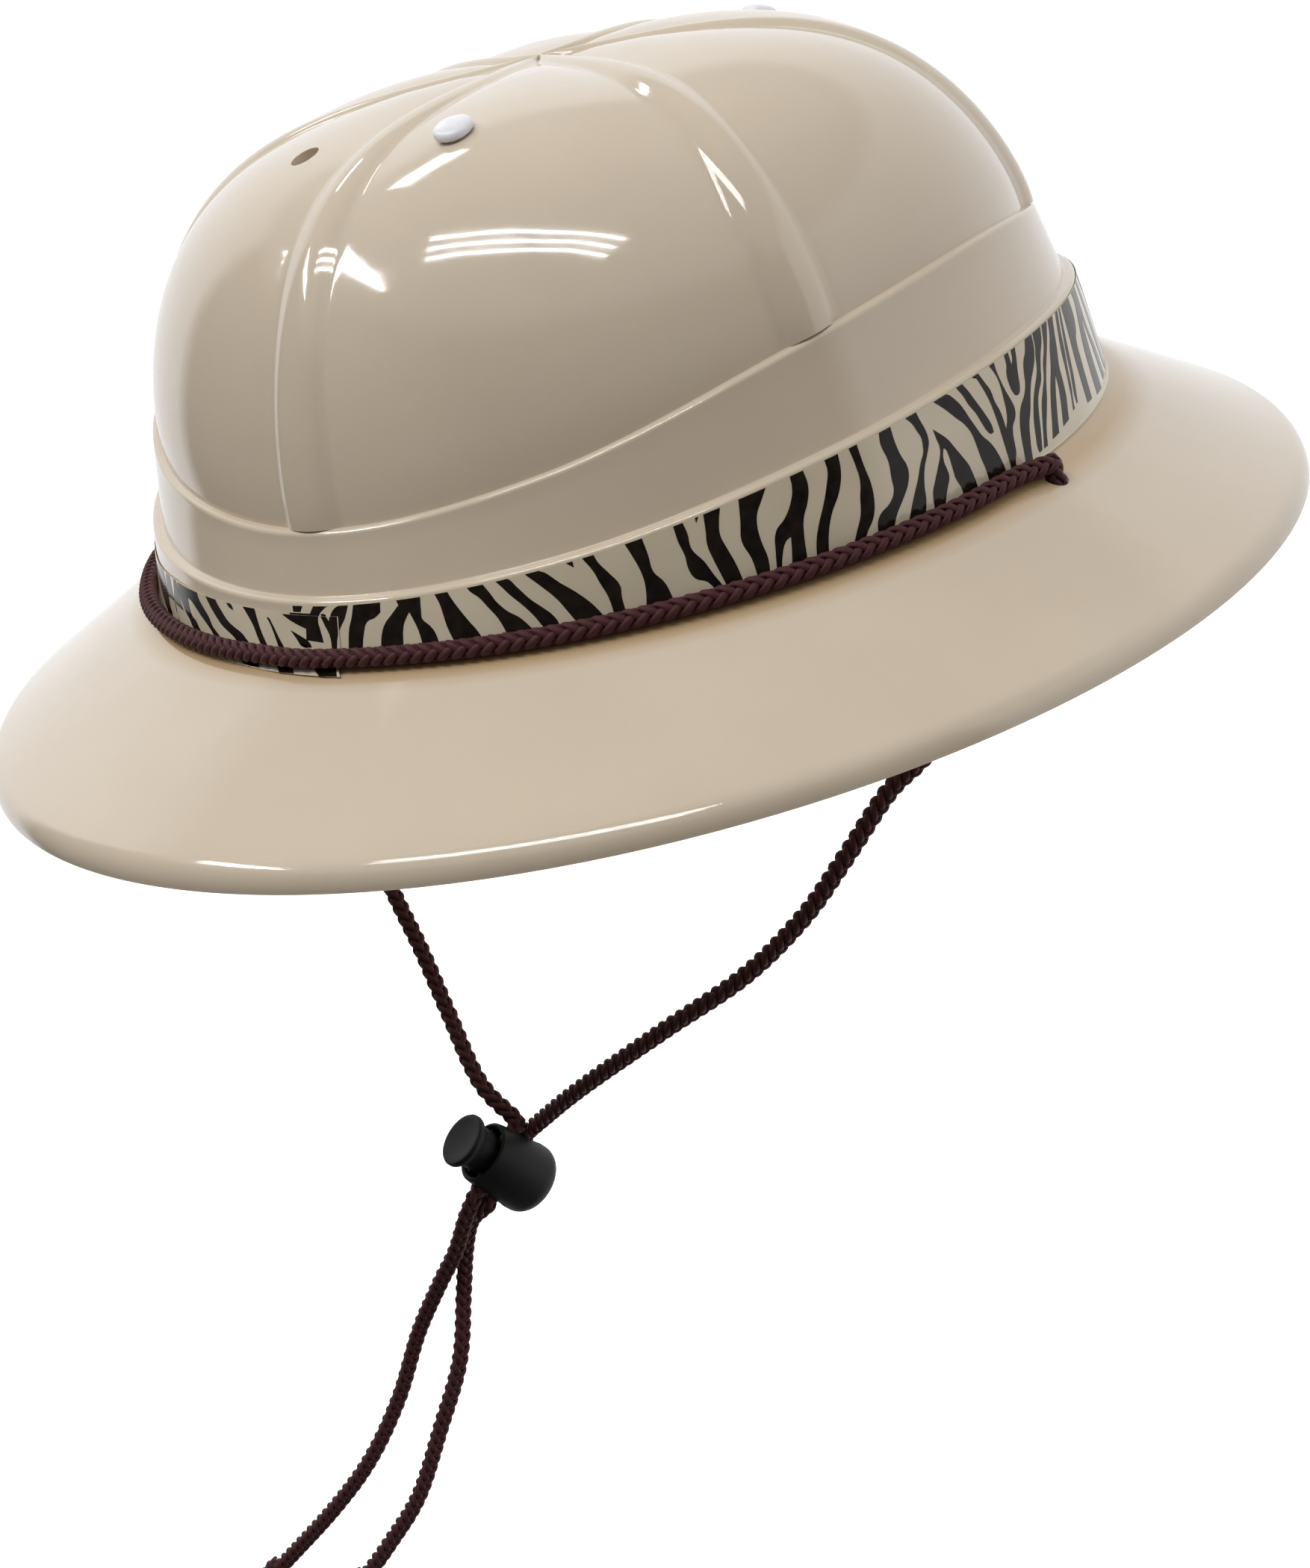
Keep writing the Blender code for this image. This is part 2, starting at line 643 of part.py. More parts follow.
shell = make_shell()
for hole_name, hole_point, hole_normal in suspension_places():
    drill = cylinder("drill_" + hole_name, SUSPENSION_HOLE / 2, DRILL_DEPTH, HOLE_SIDES)
    cut(shell, place(drill, hole_point, hole_normal))
    if hole_name != "front_left":
        make_rivet(hole_name, hole_point, hole_normal)
for hole_side, hole_name in ((1, "right"), (-1, "left")):
    drill = cylinder("cord_drill_" + hole_name, CORD_HOLE / 2, DRILL_DEPTH, HOLE_SIDES)
    cut(shell, place(drill, cord_hole_centre(hole_side), Vector((0, 0, 1))))
make_film()
make_crown_cord()
make_chin_cord(1, RIGHT_STRAND, RIGHT_TAIL, -LANE)
make_chin_cord(-1, LEFT_STRAND, LEFT_TAIL, LANE)
make_barrel()
make_plunger()
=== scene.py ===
"""The looks of a moulded plastic pith helmet with a printed film strip, a braided chin cord and a cord lock,
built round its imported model. Metres, +Z up, with the helmet's front towards -Y."""
import math

import bmesh
import bpy
from mathutils import Matrix, Vector


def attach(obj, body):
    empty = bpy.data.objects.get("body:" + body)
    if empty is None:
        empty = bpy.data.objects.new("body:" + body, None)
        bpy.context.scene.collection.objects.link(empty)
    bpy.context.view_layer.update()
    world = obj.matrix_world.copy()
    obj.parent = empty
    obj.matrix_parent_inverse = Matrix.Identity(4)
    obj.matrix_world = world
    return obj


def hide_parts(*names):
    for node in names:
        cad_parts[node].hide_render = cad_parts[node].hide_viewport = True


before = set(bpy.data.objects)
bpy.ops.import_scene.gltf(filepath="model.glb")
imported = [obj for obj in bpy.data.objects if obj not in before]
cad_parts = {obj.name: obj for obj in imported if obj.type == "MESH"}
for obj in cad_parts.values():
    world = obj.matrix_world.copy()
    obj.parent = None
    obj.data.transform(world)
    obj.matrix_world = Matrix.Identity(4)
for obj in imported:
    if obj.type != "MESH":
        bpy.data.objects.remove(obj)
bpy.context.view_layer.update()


# Camera. It stands in front of the helmet, to the right and a little above it, and leans over, so that
# the helmet's front dips towards the lower left.
CAMERA_PLACE = Vector((0.3184, -0.3736, 0.1376))
CAMERA_RIGHT = Vector((0.7892, 0.5667, -0.2367))
CAMERA_UP = Vector((-0.0641, 0.4593, 0.8860))
CAMERA_BACK = Vector((0.6108, -0.6840, 0.3988))
LENS_MM = 53.29
SENSOR_MM = 36
NEAREST_IN_VIEW = 0.01

camera_data = bpy.data.cameras.new("camera")
camera_data.lens = LENS_MM
camera_data.sensor_width = SENSOR_MM
camera_data.clip_start = NEAREST_IN_VIEW
camera = bpy.data.objects.new("camera", camera_data)
bpy.context.scene.collection.objects.link(camera)
axes = Matrix((CAMERA_RIGHT, CAMERA_UP, CAMERA_BACK)).transposed().to_4x4()
camera.matrix_world = Matrix.Translation(CAMERA_PLACE) @ axes
bpy.context.scene.camera = camera
bpy.context.scene.view_settings.view_transform = "Standard"


# Chin cord. One round braid of eight plum brown polyester strands, plaited two over two under. A stretch
# of it lies round the front in the crook of band and brim, and both its ends drop through holes at the
# brim's root, run through the cord lock and end in an overhand knot.
CORD = 0.0035
CORD_HOLE_ANGLE = math.radians(85)
CORD_HOLE_OUT = 0.0045
HOLE_LEAD = math.radians(5)
HOLE_DROP = 0.0030
HOLE_RISE = 0.0009
CROOK_HEIGHT = 0.0016
CROWN_WIDTH = 0.2104
CROWN_LENGTH = 0.2028
PLAIT_PITCH = 0.0112
PLAIT_RADIUS = 0.00134
PLAIT_WEAVE = 0.00036
STRAND_WIDTH = 0.00156
STRAND_THICKNESS = 0.00086
STRAND_SIDES = 8
STRANDS_EACH_WAY = 4
STRAND_TAKE_UP = 1.27
STRAND_GIRTH = STRAND_WIDTH * 2.4
CORE_RADIUS = 0.00095
RING_SPACING = 0.0004
CURVE_STEPS = 60
STRAND_DROP = 0.0043
# The hanging cord's points were picked in the photograph, put on the plane through the holes and the
# lock, and then moved.
RIGHT_STRAND = (
    (0.104, -0.018, -0.023), (0.092, -0.024, -0.040), (0.081, -0.029, -0.052), (0.073, -0.032, -0.059),
    (0.063, -0.038, -0.072), (0.053, -0.043, -0.084), (0.038, -0.048, -0.097), (0.017, -0.054, -0.110),
    (-0.009, -0.058, -0.127),
)
LEFT_STRAND = (
    (-0.103, -0.017, -0.022), (-0.091, -0.028, -0.050), (-0.077, -0.037, -0.072), (-0.064, -0.045, -0.089),
    (-0.055, -0.050, -0.101), (-0.047, -0.055, -0.114), (-0.037, -0.061, -0.128),
)
RIGHT_TAIL = (
    (-0.0381, -0.0755, -0.1571), (-0.0421, -0.0767, -0.1660), (-0.0440, -0.0795, -0.1760),
    (-0.0445, -0.0869, -0.1910), (-0.0511, -0.0941, -0.2082), (-0.0588, -0.1008, -0.2255),
    (-0.0690, -0.1065, -0.2393), (-0.0775, -0.1108, -0.2495),
)
LEFT_TAIL = (
    (-0.0366, -0.0784, -0.1544), (-0.0412, -0.0804, -0.1632), (-0.0479, -0.0824, -0.1725),
    (-0.0573, -0.0858, -0.1869), (-0.0651, -0.0919, -0.2042), (-0.0746, -0.0989, -0.2202),
    (-0.0876, -0.1054, -0.2352), (-0.1081, -0.1132, -0.2550),
)
LOCK_CENTRE = Vector((-0.0308, -0.0675, -0.1451))
LOCK_AXIS = Vector((-0.261, -0.511, 0.819)).normalized()
LOCK_CORD_WAY = Vector((-0.224, -0.794, -0.566))
# Each strand runs through the lock on its own side of the middle, straight for this far both ways.
LANE = 0.00205
LANE_REACH = 0.0100


def linear(colour):
    """An sRGB hex colour as the linear values that a node takes."""
    parts = [int(colour[start:start + 2], 16) / 255 for start in (1, 3, 5)]
    return (*[part / 12.92 if part <= 0.04045 else ((part + 0.055) / 1.055) ** 2.4 for part in parts], 1)


def set_inputs(finish, node, inputs):
    """Gives each named input of a node a value or another node's output."""
    for name, value in inputs.items():
        if isinstance(value, bpy.types.NodeSocket):
            finish.node_tree.links.new(value, node.inputs[name])
        else:
            node.inputs[name].default_value = value


def add_node(finish, kind, inputs, stops=(), **settings):
    """Adds a node with its inputs, its settings and, in a colour ramp, its stops of place and sRGB colour."""
    node = finish.node_tree.nodes.new(kind)
    for name, value in settings.items():
        setattr(node, name, value)
    for place, colour in stops[2:]:
        node.color_ramp.elements.new(place)
    for index, (place, colour) in enumerate(stops):
        node.color_ramp.elements[index].position = place
        node.color_ramp.elements[index].color = linear(colour)
    set_inputs(finish, node, inputs)
    return node


def new_finish(name, **constants):
    """A material whose shader's own sockets hold what is the same all over the surface."""
    finish = bpy.data.materials.new(name)
    finish.use_nodes = True
    shader = finish.node_tree.nodes["Principled BSDF"]
    for socket, value in constants.items():
        shader.inputs[socket.replace("_", " ")].default_value = value
    return finish, shader


def new_object(name, bm):
    """A bmesh as an object in the scene."""
    mesh = bpy.data.meshes.new(name)
    bm.to_mesh(mesh)
    bm.free()
    made = bpy.data.objects.new(name, mesh)
    bpy.context.scene.collection.objects.link(made)
    return made


# Faces that meet at more than this keep a sharp edge between them.
SHARP = math.radians(50)
LOCK_SHARP = math.radians(40)


def finished_piece(name, bm, finish, body, sharp=None):
    """A bmesh as a smooth shaded piece of the helmet that rides on a body."""
    bmesh.ops.recalc_face_normals(bm, faces=bm.faces)
    piece = new_object(name, bm)
    piece.data.materials.append(finish)
    piece.data.shade_smooth()
    if sharp:
        piece.data.set_sharp_from_angle(angle=sharp)
    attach(piece, body)
    return piece


# Plaited polyester: each strand is a flat bundle of fine bright filaments, dyed plum brown. Filaments are
# 0.02 mm thick, too fine to show, so they are drawn 0.12 mm apart.
polyester, shader = new_finish("plaited_polyester", Roughness=0.55, IOR=1.57, Specular_IOR_Level=0.3,
                               Specular_Tint=linear("#d09a96"), Sheen_Weight=0.03, Sheen_Roughness=0.5,
                               Sheen_Tint=linear("#8a5a5c"))
strand_map = add_node(polyester, "ShaderNodeUVMap", {}, uv_map="strand_mm")
filaments = add_node(polyester, "ShaderNodeMapping",
                     {"Vector": strand_map.outputs["UV"], "Scale": (0.5, 8.0, 1.0)})
filament = add_node(polyester, "ShaderNodeTexNoise",
                    {"Vector": filaments.outputs["Vector"], "Scale": 1.0, "Detail": 2.0}).outputs["Fac"]
dyed = add_node(polyester, "ShaderNodeValToRGB", {"Fac": filament},
                ((0.25, "#221114"), (0.5, "#4a2d30"), (0.8, "#876064")))
relief = add_node(polyester, "ShaderNodeBump", {"Height": filament, "Strength": 0.5, "Distance": 0.0001})
set_inputs(polyester, shader, {"Base Color": dyed.outputs["Color"], "Normal": relief.outputs["Normal"]})


def oval(angle, width, length, inset):
    """On an oval round the axis, an angle from the front and an inset in from its edge."""
    return Vector(((width / 2 - inset) * math.sin(angle), -(length / 2 - inset) * math.cos(angle), 0))


def crown_oval(angle, inset, height):
    """On the crown's oval, where the lower band's foot meets the brim."""
    return oval(angle, CROWN_WIDTH, CROWN_LENGTH, inset) + Vector((0, 0, height))


def between(before, start, end, after, t):
    """On the smooth curve from start to end at share t, with the points before and after them."""
    return 0.5 * (2 * start + (end - before) * t + (2 * before - 5 * start + 4 * end - after) * t ** 2
                  + (3 * start - before - 3 * end + after) * t ** 3)


def smooth_route(points):
    """Points at even spacing along a smooth curve through the route's own points."""
    ends = [2 * points[0] - points[1], *points, 2 * points[-1] - points[-2]]
    fine = []
    for before, start, end, after in zip(ends, ends[1:], ends[2:], ends[3:]):
        fine += [between(before, start, end, after, step / CURVE_STEPS) for step in range(CURVE_STEPS)]
    fine.append(points[-1])
    return even_points(fine)


def even_points(fine):
    """The same line with its points at even spacing."""
    travelled = [0.0]
    for a, b in zip(fine, fine[1:]):
        travelled.append(travelled[-1] + (b - a).length)
    count = max(2, round(travelled[-1] / RING_SPACING))
    even = []
    index = 0
    for step in range(count + 1):
        target = travelled[-1] * step / count
        while index < len(fine) - 2 and travelled[index + 1] < target:
            index += 1
        span = travelled[index + 1] - travelled[index]
        even.append(fine[index].lerp(fine[index + 1], (target - travelled[index]) / span))
    return even


def route_frames(route):
    """Each point of a route with two directions square to it, carried along without a twist."""
    frames = []
    side = (route[1] - route[0]).orthogonal()
    for index, point in enumerate(route):
        ahead = (route[min(index + 1, len(route) - 1)] - route[max(index - 1, 0)]).normalized()
        side = (side - ahead * side.dot(ahead)).normalized()
        frames.append((point, side, ahead.cross(side), ahead))
    return frames


def add_tube(bm, rings, sides, length, girth, place):
    """A closed tube made from a grid: place gives the point for a ring's number and a turn round it."""
    corners = bmesh.ops.create_grid(bm, x_segments=rings - 1, y_segments=sides, size=0.5)["verts"]
    layer = bm.loops.layers.uv.verify()
    faces = {face for vert in corners for face in vert.link_faces}
    for face in faces:
        for loop in face.loops:
            along, around = loop.vert.co.x + 0.5, loop.vert.co.y + 0.5
            loop[layer].uv = (along * length * 1000, around * girth * 1000)
    for vert in corners:
        ring, turn = round((vert.co.x + 0.5) * (rings - 1)), (vert.co.y + 0.5) * 2 * math.pi
        vert.co = place(ring, turn)
    bmesh.ops.remove_doubles(bm, verts=corners, dist=1e-8)


def add_plait(bm, route):
    """Flat strands round a core, as many each way, each passing over two and under two."""
    frames = route_frames(route)
    spacing = (route[1] - route[0]).length
    length = spacing * len(route)

    def core(ring, turn):
        point, side, up, ahead = frames[ring]
        return point + (side * math.cos(turn) + up * math.sin(turn)) * CORE_RADIUS

    add_tube(bm, len(frames), STRAND_SIDES, length, CORE_RADIUS * 2 * math.pi, core)
    for way in (1, -1):
        for number in range(STRANDS_EACH_WAY):
            def strand(ring, turn):
                point, side, up, ahead = frames[ring]
                crossings = 2 * STRANDS_EACH_WAY * ring * spacing / PLAIT_PITCH
                angle = way * math.pi / STRANDS_EACH_WAY * crossings + number * 2 * math.pi / STRANDS_EACH_WAY
                weave = way * PLAIT_WEAVE * math.cos(math.pi / 2 * (2 * number + way * crossings - 0.5))
                radius = PLAIT_RADIUS + weave
                radial = side * math.cos(angle) + up * math.sin(angle)
                around = up * math.cos(angle) - side * math.sin(angle)
                along = ahead + around * way * 2 * math.pi * radius / PLAIT_PITCH
                across = radial.cross(along.normalized())
                out, over = STRAND_WIDTH / 2 * math.cos(turn), STRAND_THICKNESS / 2 * math.sin(turn)
                return point + radial * (radius + over - out * out / (2 * radius)) + across * out

            add_tube(bm, len(frames), STRAND_SIDES, length * STRAND_TAKE_UP, STRAND_GIRTH, strand)
    open_edges = [edge for edge in bm.edges if edge.is_boundary]
    bmesh.ops.holes_fill(bm, edges=open_edges, sides=0)


def cord_way():
    """The way the cord runs through the lock, square to the lock's axis."""
    return (LOCK_CORD_WAY - LOCK_AXIS * LOCK_CORD_WAY.dot(LOCK_AXIS)).normalized()


# The stretch round the front lies outside the film strip, which is two layers thick where its ends lap.
# It is drawn from one hole to the other through CROOK_STEPS even steps.
CROOK_STEPS = 24
FILM_START = math.radians(-2.5)
FILM_LAP = 0.0125 / (CROWN_LENGTH / 2)
FILM_RAMP = math.radians(4)
FILM_LAYER = 0.0006
GAP = 0.0003


def smooth(share):
    """Zero to one with level ends."""
    share = min(max(share, 0.0), 1.0)
    return share * share * (3 - 2 * share)


crook = []
for step in range(CROOK_STEPS + 1):
    angle = (CORD_HOLE_ANGLE - HOLE_LEAD) * (1 - 2 * step / CROOK_STEPS)
    layers = 1 + smooth(1 - (abs(angle - FILM_START - FILM_LAP / 2) - FILM_LAP / 2) / FILM_RAMP)
    crook.append(crown_oval(angle, -(FILM_LAYER * layers + GAP + CORD / 2), CROOK_HEIGHT))
holes = {side: crown_oval(side * CORD_HOLE_ANGLE, -CORD_HOLE_OUT, 0) for side in (1, -1)}
drop, rise = Vector((0, 0, -HOLE_DROP)), Vector((0, 0, HOLE_RISE))
lying = smooth_route([holes[1] + rise, *crook, holes[-1] + rise])
crown_route = even_points([holes[1] + drop, *lying, holes[-1] + drop])
bm = bmesh.new()
add_plait(bm, crown_route)
crown_cord = finished_piece("crown_cord_plait", bm, polyester, "root")
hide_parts("crown_cord")

# The knots are overhand knots pulled tight, each a trefoil with its lead in and its short cut end.
KNOT_LOOP = 0.0027
KNOT_DEPTH = 0.0013
KNOT_START = 0.0008
KNOT_END = 0.0045
KNOT_TURNS = range(30, 679, 24)


def knot_route(end, way):
    """The knot's line from the cord's end on, KNOT_TURNS being degrees along the trefoil."""
    side = way.cross(Vector((0, 0, 1))).normalized()
    depth = way.cross(side)
    centre = end + way * (KNOT_START + KNOT_LOOP + KNOT_DEPTH)
    line = [end]
    for degrees in KNOT_TURNS:
        turn = math.radians(degrees)
        radius = KNOT_LOOP + KNOT_DEPTH * math.cos(1.5 * turn)
        line.append(centre + way * radius * math.sin(turn) + side * (radius * math.cos(turn) - KNOT_LOOP / 3)
                    + depth * KNOT_DEPTH * math.sin(1.5 * turn))
    line.append(centre + way * (KNOT_LOOP + KNOT_DEPTH + KNOT_END) - depth * KNOT_DEPTH / 2)
    return smooth_route(line)


for side, name, strand, tail, lane in ((1, "right", RIGHT_STRAND, RIGHT_TAIL, -LANE),
                                       (-1, "left", LEFT_STRAND, LEFT_TAIL, LANE)):
    start = holes[side] + drop
    lane_centre = LOCK_CENTRE + LOCK_AXIS * lane
    above = [start - Vector((0, 0, STRAND_DROP)), *map(Vector, strand), lane_centre - cord_way() * LANE_REACH]
    below = [lane_centre + cord_way() * LANE_REACH, *map(Vector, tail)]
    route = even_points([start] + smooth_route(above) + smooth_route(below))
    bm = bmesh.new()
    add_plait(bm, route)
    chin_cord = finished_piece("chin_cord_plait_" + name, bm, polyester, "root")
    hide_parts("chin_cord_" + name)
    bm = bmesh.new()
    add_plait(bm, knot_route(route[-1], (route[-1] - route[-4]).normalized()))
    knot = finished_piece("tail_knot_" + name, bm, polyester, "root")
    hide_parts("knot_" + name)


# Helmet shell. One injection moulding of glossy cream plastic 2 mm thick: a sloping brim with a rolled
# rim, two stepped bands that stand for a wound scarf, and a domed crown in six panels between ribs.
BRIM_LENGTH = 0.290
BRIM_WIDTH = 0.2865
BRIM_FORWARD = 0.0045
BRIM_DROP_FRONT = 0.0225
BRIM_DROP_BACK = 0.0255
RIM_ROLL = 0.0055
RIM_TURN = math.radians(64)
ROOT_FILLET = 0.0012
CROWN_HEIGHT = 0.0840
WALL = 0.0020
LOWER_BAND_HEIGHT = 0.0230
LOWER_BAND_LEAN = 0.0028
UPPER_BAND_HEIGHT = 0.0190
UPPER_BAND_LEAN = 0.0032
BAND_STEP = 0.0023
LIP_RADIUS = 0.0011
LEDGE_FILLET = 0.0004
DOME_SQUARENESS = 4.1
DOME_STEEPNESS = 1.45
APEX_BACK = 0.0062
APEX_SPREAD = 1.5
RIB_COUNT = 6
RIB_HEIGHT = 0.0021
RIB_HALF_WIDTH = 0.0062
RIB_TIP = 0.0024
RIB_ROUNDNESS = 0.75
PANEL_BULGE = 0.0020
PANEL_FULLNESS = 0.8
COLUMNS = 288
COLUMN_CROWDING = 0.75
RIB_SIDE_SHIFT = math.radians(3.5)
ROLL_ROWS, BRIM_ROWS, FACE_ROWS, LIP_ROWS, ROOT_ROWS, LEDGE_ROWS, DOME_ROWS = 8, 10, 4, 6, 4, 3, 52
DOME_CROWDING = 1.7
DOME_COVERED = 0.985
# Degrees from the front, then the lower and the upper band's height as shares of their full heights. They
# are rounded from a fit to the bands' edges in the photograph.
BAND_TABLE = (
    (0, 0.452, 0.605),
    (30, 0.570, 0.732),
    (60, 0.817, 0.968),
    (90, 0.987, 1.005),
    (120, 0.957, 0.760),
    (150, 0.813, 0.480),
    (180, 0.735, 0.400),
)
# Distance from the axis as a share of the dome's radius, and how much of the panels' bulge stands there.
BULGE_TABLE = (
    (1.000, 0.30), (0.988, 0.45), (0.960, 0.60), (0.915, 0.75), (0.850, 0.90), (0.765, 1.00),
    (0.660, 1.00), (0.540, 1.00), (0.415, 1.10), (0.290, 1.20), (0.175, 1.00), (0.075, 0.50), (0.0, 0.0),
)
UPPER_INSET = LOWER_BAND_LEAN + BAND_STEP
DOME_INSET = UPPER_INSET + UPPER_BAND_LEAN + BAND_STEP
SUSPENSION_HOLE = 0.0062
CORD_HOLE = 0.0050
HOLE_SIDES = 48
DRILL_LENGTH = 0.016
# Degrees from the front and distance from the axis.
SUSPENSION_HOLES = {"front_right": (21.7, 0.0521), "rear_right": (160.5, 0.0588),
                    "front_left": (-21.7, 0.0521), "rear_left": (-160.5, 0.0588)}


def band_share(angle, column):
    """A column of BAND_TABLE at any angle, on a smooth curve mirrored about the front and the back."""
    degrees = abs((math.degrees(angle) + 180) % 360 - 180)
    step = BAND_TABLE[1][0]
    last = len(BAND_TABLE) - 1
    first = min(int(degrees / step), last - 1)
    before, start, end, after = [BAND_TABLE[last - abs(last - abs(first + k))][column]
                                 for k in (-1, 0, 1, 2)]
    return between(before, start, end, after, degrees / step - first)


def table_value(table, at):
    """A value between a table's rows, which may run up or down."""
    for (a, value_a), (b, value_b) in zip(table, table[1:]):
        if min(a, b) <= at <= max(a, b):
            return value_a + (value_b - value_a) * (at - a) / (b - a)
    return table[0][1] if abs(at - table[0][0]) < abs(at - table[-1][0]) else table[-1][1]


def lower_top(angle):
    return LOWER_BAND_HEIGHT * band_share(angle, 1)


def upper_top(angle):
    return lower_top(angle) + UPPER_BAND_HEIGHT * band_share(angle, 2)


def rim_point(angle, share):
    """On the rim's roll, from its lower edge to where it meets the brim."""
    turn = share * RIM_TURN
    fall = BRIM_DROP_FRONT + (BRIM_DROP_BACK - BRIM_DROP_FRONT) * smooth((1 - math.cos(angle)) / 2)
    rolled = oval(angle, BRIM_WIDTH, BRIM_LENGTH, RIM_ROLL * (1 - math.cos(turn)))
    return rolled + Vector((0, -BRIM_FORWARD, RIM_ROLL * math.sin(turn) - fall))


def brim_point(angle, share):
    """On the brim's sloping top, from the roll to the root."""
    return rim_point(angle, 1).lerp(crown_oval(angle, -ROOT_FILLET, 0), share)


def fillet_point(foot, inset, radius):
    """A hollow quarter round between a ledge and the foot of the face above it."""
    def point(angle, share):
        turn = share * math.pi / 2
        return crown_oval(angle, inset - radius * (1 - math.sin(turn)),
                          foot(angle) + radius * (1 - math.cos(turn)))
    return point


def face_point(foot, top, inset, lean):
    """A band's leaning face, from its foot to where its lip starts to round."""
    def point(angle, share):
        low, high = foot(angle), top(angle) - LIP_RADIUS
        return crown_oval(angle, inset + lean * share, low + (high - low) * share)
    return point


def lip_point(top, inset):
    """A band's rounded lip."""
    def point(angle, share):
        turn = share * math.pi / 2
        return crown_oval(angle, inset + LIP_RADIUS * (1 - math.cos(turn)),
                          top(angle) - LIP_RADIUS * (1 - math.sin(turn)))
    return point


def dome_point(angle, share):
    """On the dome's bare form, before its ribs and bulging panels: share is the distance from the axis."""
    climb = max(0.0, 1 - share ** DOME_SQUARENESS) ** (1 / DOME_STEEPNESS)
    foot = upper_top(angle)
    back = APEX_BACK * max(0.0, 1 - share) ** APEX_SPREAD
    return crown_oval(angle, DOME_INSET, 0) * share + Vector((0, back, foot + (CROWN_HEIGHT - foot) * climb))


def dome_normal(angle, share):
    """The outward direction on the dome's bare form."""
    low, high = min(share + 0.001, 1.0), max(share - 0.003, 0.001)
    climb = dome_point(angle, high) - dome_point(angle, low)
    around = dome_point(angle + 0.01, share) - dome_point(angle - 0.01, share)
    return around.cross(climb).normalized()


def dome_lift(even_angle, radius, share):
    """How far the ribs and the bulging panels stand off the dome's bare form."""
    pitch = 2 * math.pi / RIB_COUNT
    off_rib = abs((even_angle + pitch / 2) % pitch - pitch / 2)
    across = radius * math.sin(off_rib)
    half = RIB_TIP + (RIB_HALF_WIDTH - RIB_TIP) * share
    rib = RIB_HEIGHT * max(0.0, 1 - (across / half) ** 2) ** RIB_ROUNDNESS
    bulge = table_value(BULGE_TABLE, share)
    panel = PANEL_BULGE * bulge * math.sin(math.pi * off_rib / pitch) ** PANEL_FULLNESS
    return max(rib, panel)


def steps(count, first=0):
    """Even shares from zero to one, without the first one where rows join."""
    return [step / count for step in range(first, count + 1)]


def lower_foot(angle):
    return ROOT_FILLET


def lower_root(angle):
    return 0.0


def upper_foot(angle):
    return lower_top(angle) + LEDGE_FILLET


# The shell's outer face is a grid of rows from the rim's lower edge up to the apex, each row a place
# function and a share, and of columns round the axis, closer together on the ribs.
rows = []
for place, shares in (
        (rim_point, steps(ROLL_ROWS)),
        (brim_point, steps(BRIM_ROWS, 1)),
        (fillet_point(lower_root, 0, ROOT_FILLET), steps(ROOT_ROWS, 1)),
        (face_point(lower_foot, lower_top, 0, LOWER_BAND_LEAN), steps(FACE_ROWS, 1)),
        (lip_point(lower_top, LOWER_BAND_LEAN), steps(LIP_ROWS, 1)),
        (fillet_point(lower_top, UPPER_INSET, LEDGE_FILLET), steps(LEDGE_ROWS)),
        (face_point(upper_foot, upper_top, UPPER_INSET, UPPER_BAND_LEAN), steps(FACE_ROWS, 1)),
        (lip_point(upper_top, UPPER_INSET + UPPER_BAND_LEAN), steps(LIP_ROWS, 1)),
        (dome_point, [1 - step ** DOME_CROWDING * DOME_COVERED for step in steps(DOME_ROWS)])):
    rows += [(place, share) for share in shares]
dome_start = len(rows) - DOME_ROWS - 1

bm = bmesh.new()
line = [bm.verts.new((0, -1, row)) for row in range(len(rows))]
edges = [bm.edges.new(pair) for pair in zip(line, line[1:])]
bmesh.ops.spin(bm, geom=line + edges, cent=(0, 0, 0), axis=(0, 0, 1), angle=2 * math.pi,
               steps=COLUMNS, use_merge=True)
top_ring = [edge for edge in bm.edges if all(round(vert.co.z) == len(rows) - 1 for vert in edge.verts)]
for vert in bm.verts:
    row = round(vert.co.z)
    turn = math.atan2(vert.co.x, -vert.co.y)
    even = turn - COLUMN_CROWDING / RIB_COUNT * math.sin(RIB_COUNT * turn)
    angle = even + RIB_SIDE_SHIFT * math.sin(2 * even)
    place, share = rows[row]
    vert.co = place(angle, share)
    if row >= dome_start:
        radius = math.hypot(vert.co.x, vert.co.y)
        vert.co += dome_normal(angle, share) * dome_lift(even, radius, share)
cap = bmesh.ops.contextual_create(bm, geom=top_ring)["faces"]
apex = bmesh.ops.poke(bm, faces=cap)["verts"][0]
apex.co = dome_point(0, 0) + Vector((0, 0, RIB_HEIGHT))
bmesh.ops.recalc_face_normals(bm, faces=bm.faces)
bmesh.ops.solidify(bm, geom=bm.faces, thickness=WALL)
bmesh.ops.recalc_face_normals(bm, faces=bm.faces)


def dome_place(degrees, distance):
    """The dome's surface at an angle and distance from the axis: the point and its outward direction."""
    angle = math.radians(degrees)
    share = distance / crown_oval(angle, DOME_INSET, 0).length
    step = math.radians(1)

    def raised(at, part):
        return dome_point(at, part) + Vector((0, 0, PANEL_BULGE))

    across = raised(angle + step, share) - raised(angle - step, share)
    down = raised(angle, share + 0.01) - raised(angle, share - 0.01)
    normal = down.cross(across).normalized()
    return raised(angle, share), normal if normal.z > 0 else -normal


def drill(name, point, normal, width):
    """A round cutter through the wall."""
    cutter_bm = bmesh.new()
    bmesh.ops.create_cone(cutter_bm, cap_ends=True, segments=HOLE_SIDES, radius1=width / 2,
                          radius2=width / 2, depth=DRILL_LENGTH)
    turn = normal.to_track_quat("Z", "Y").to_matrix().to_4x4()
    bmesh.ops.transform(cutter_bm, matrix=Matrix.Translation(point) @ turn, verts=cutter_bm.verts)
    return new_object(name, cutter_bm)


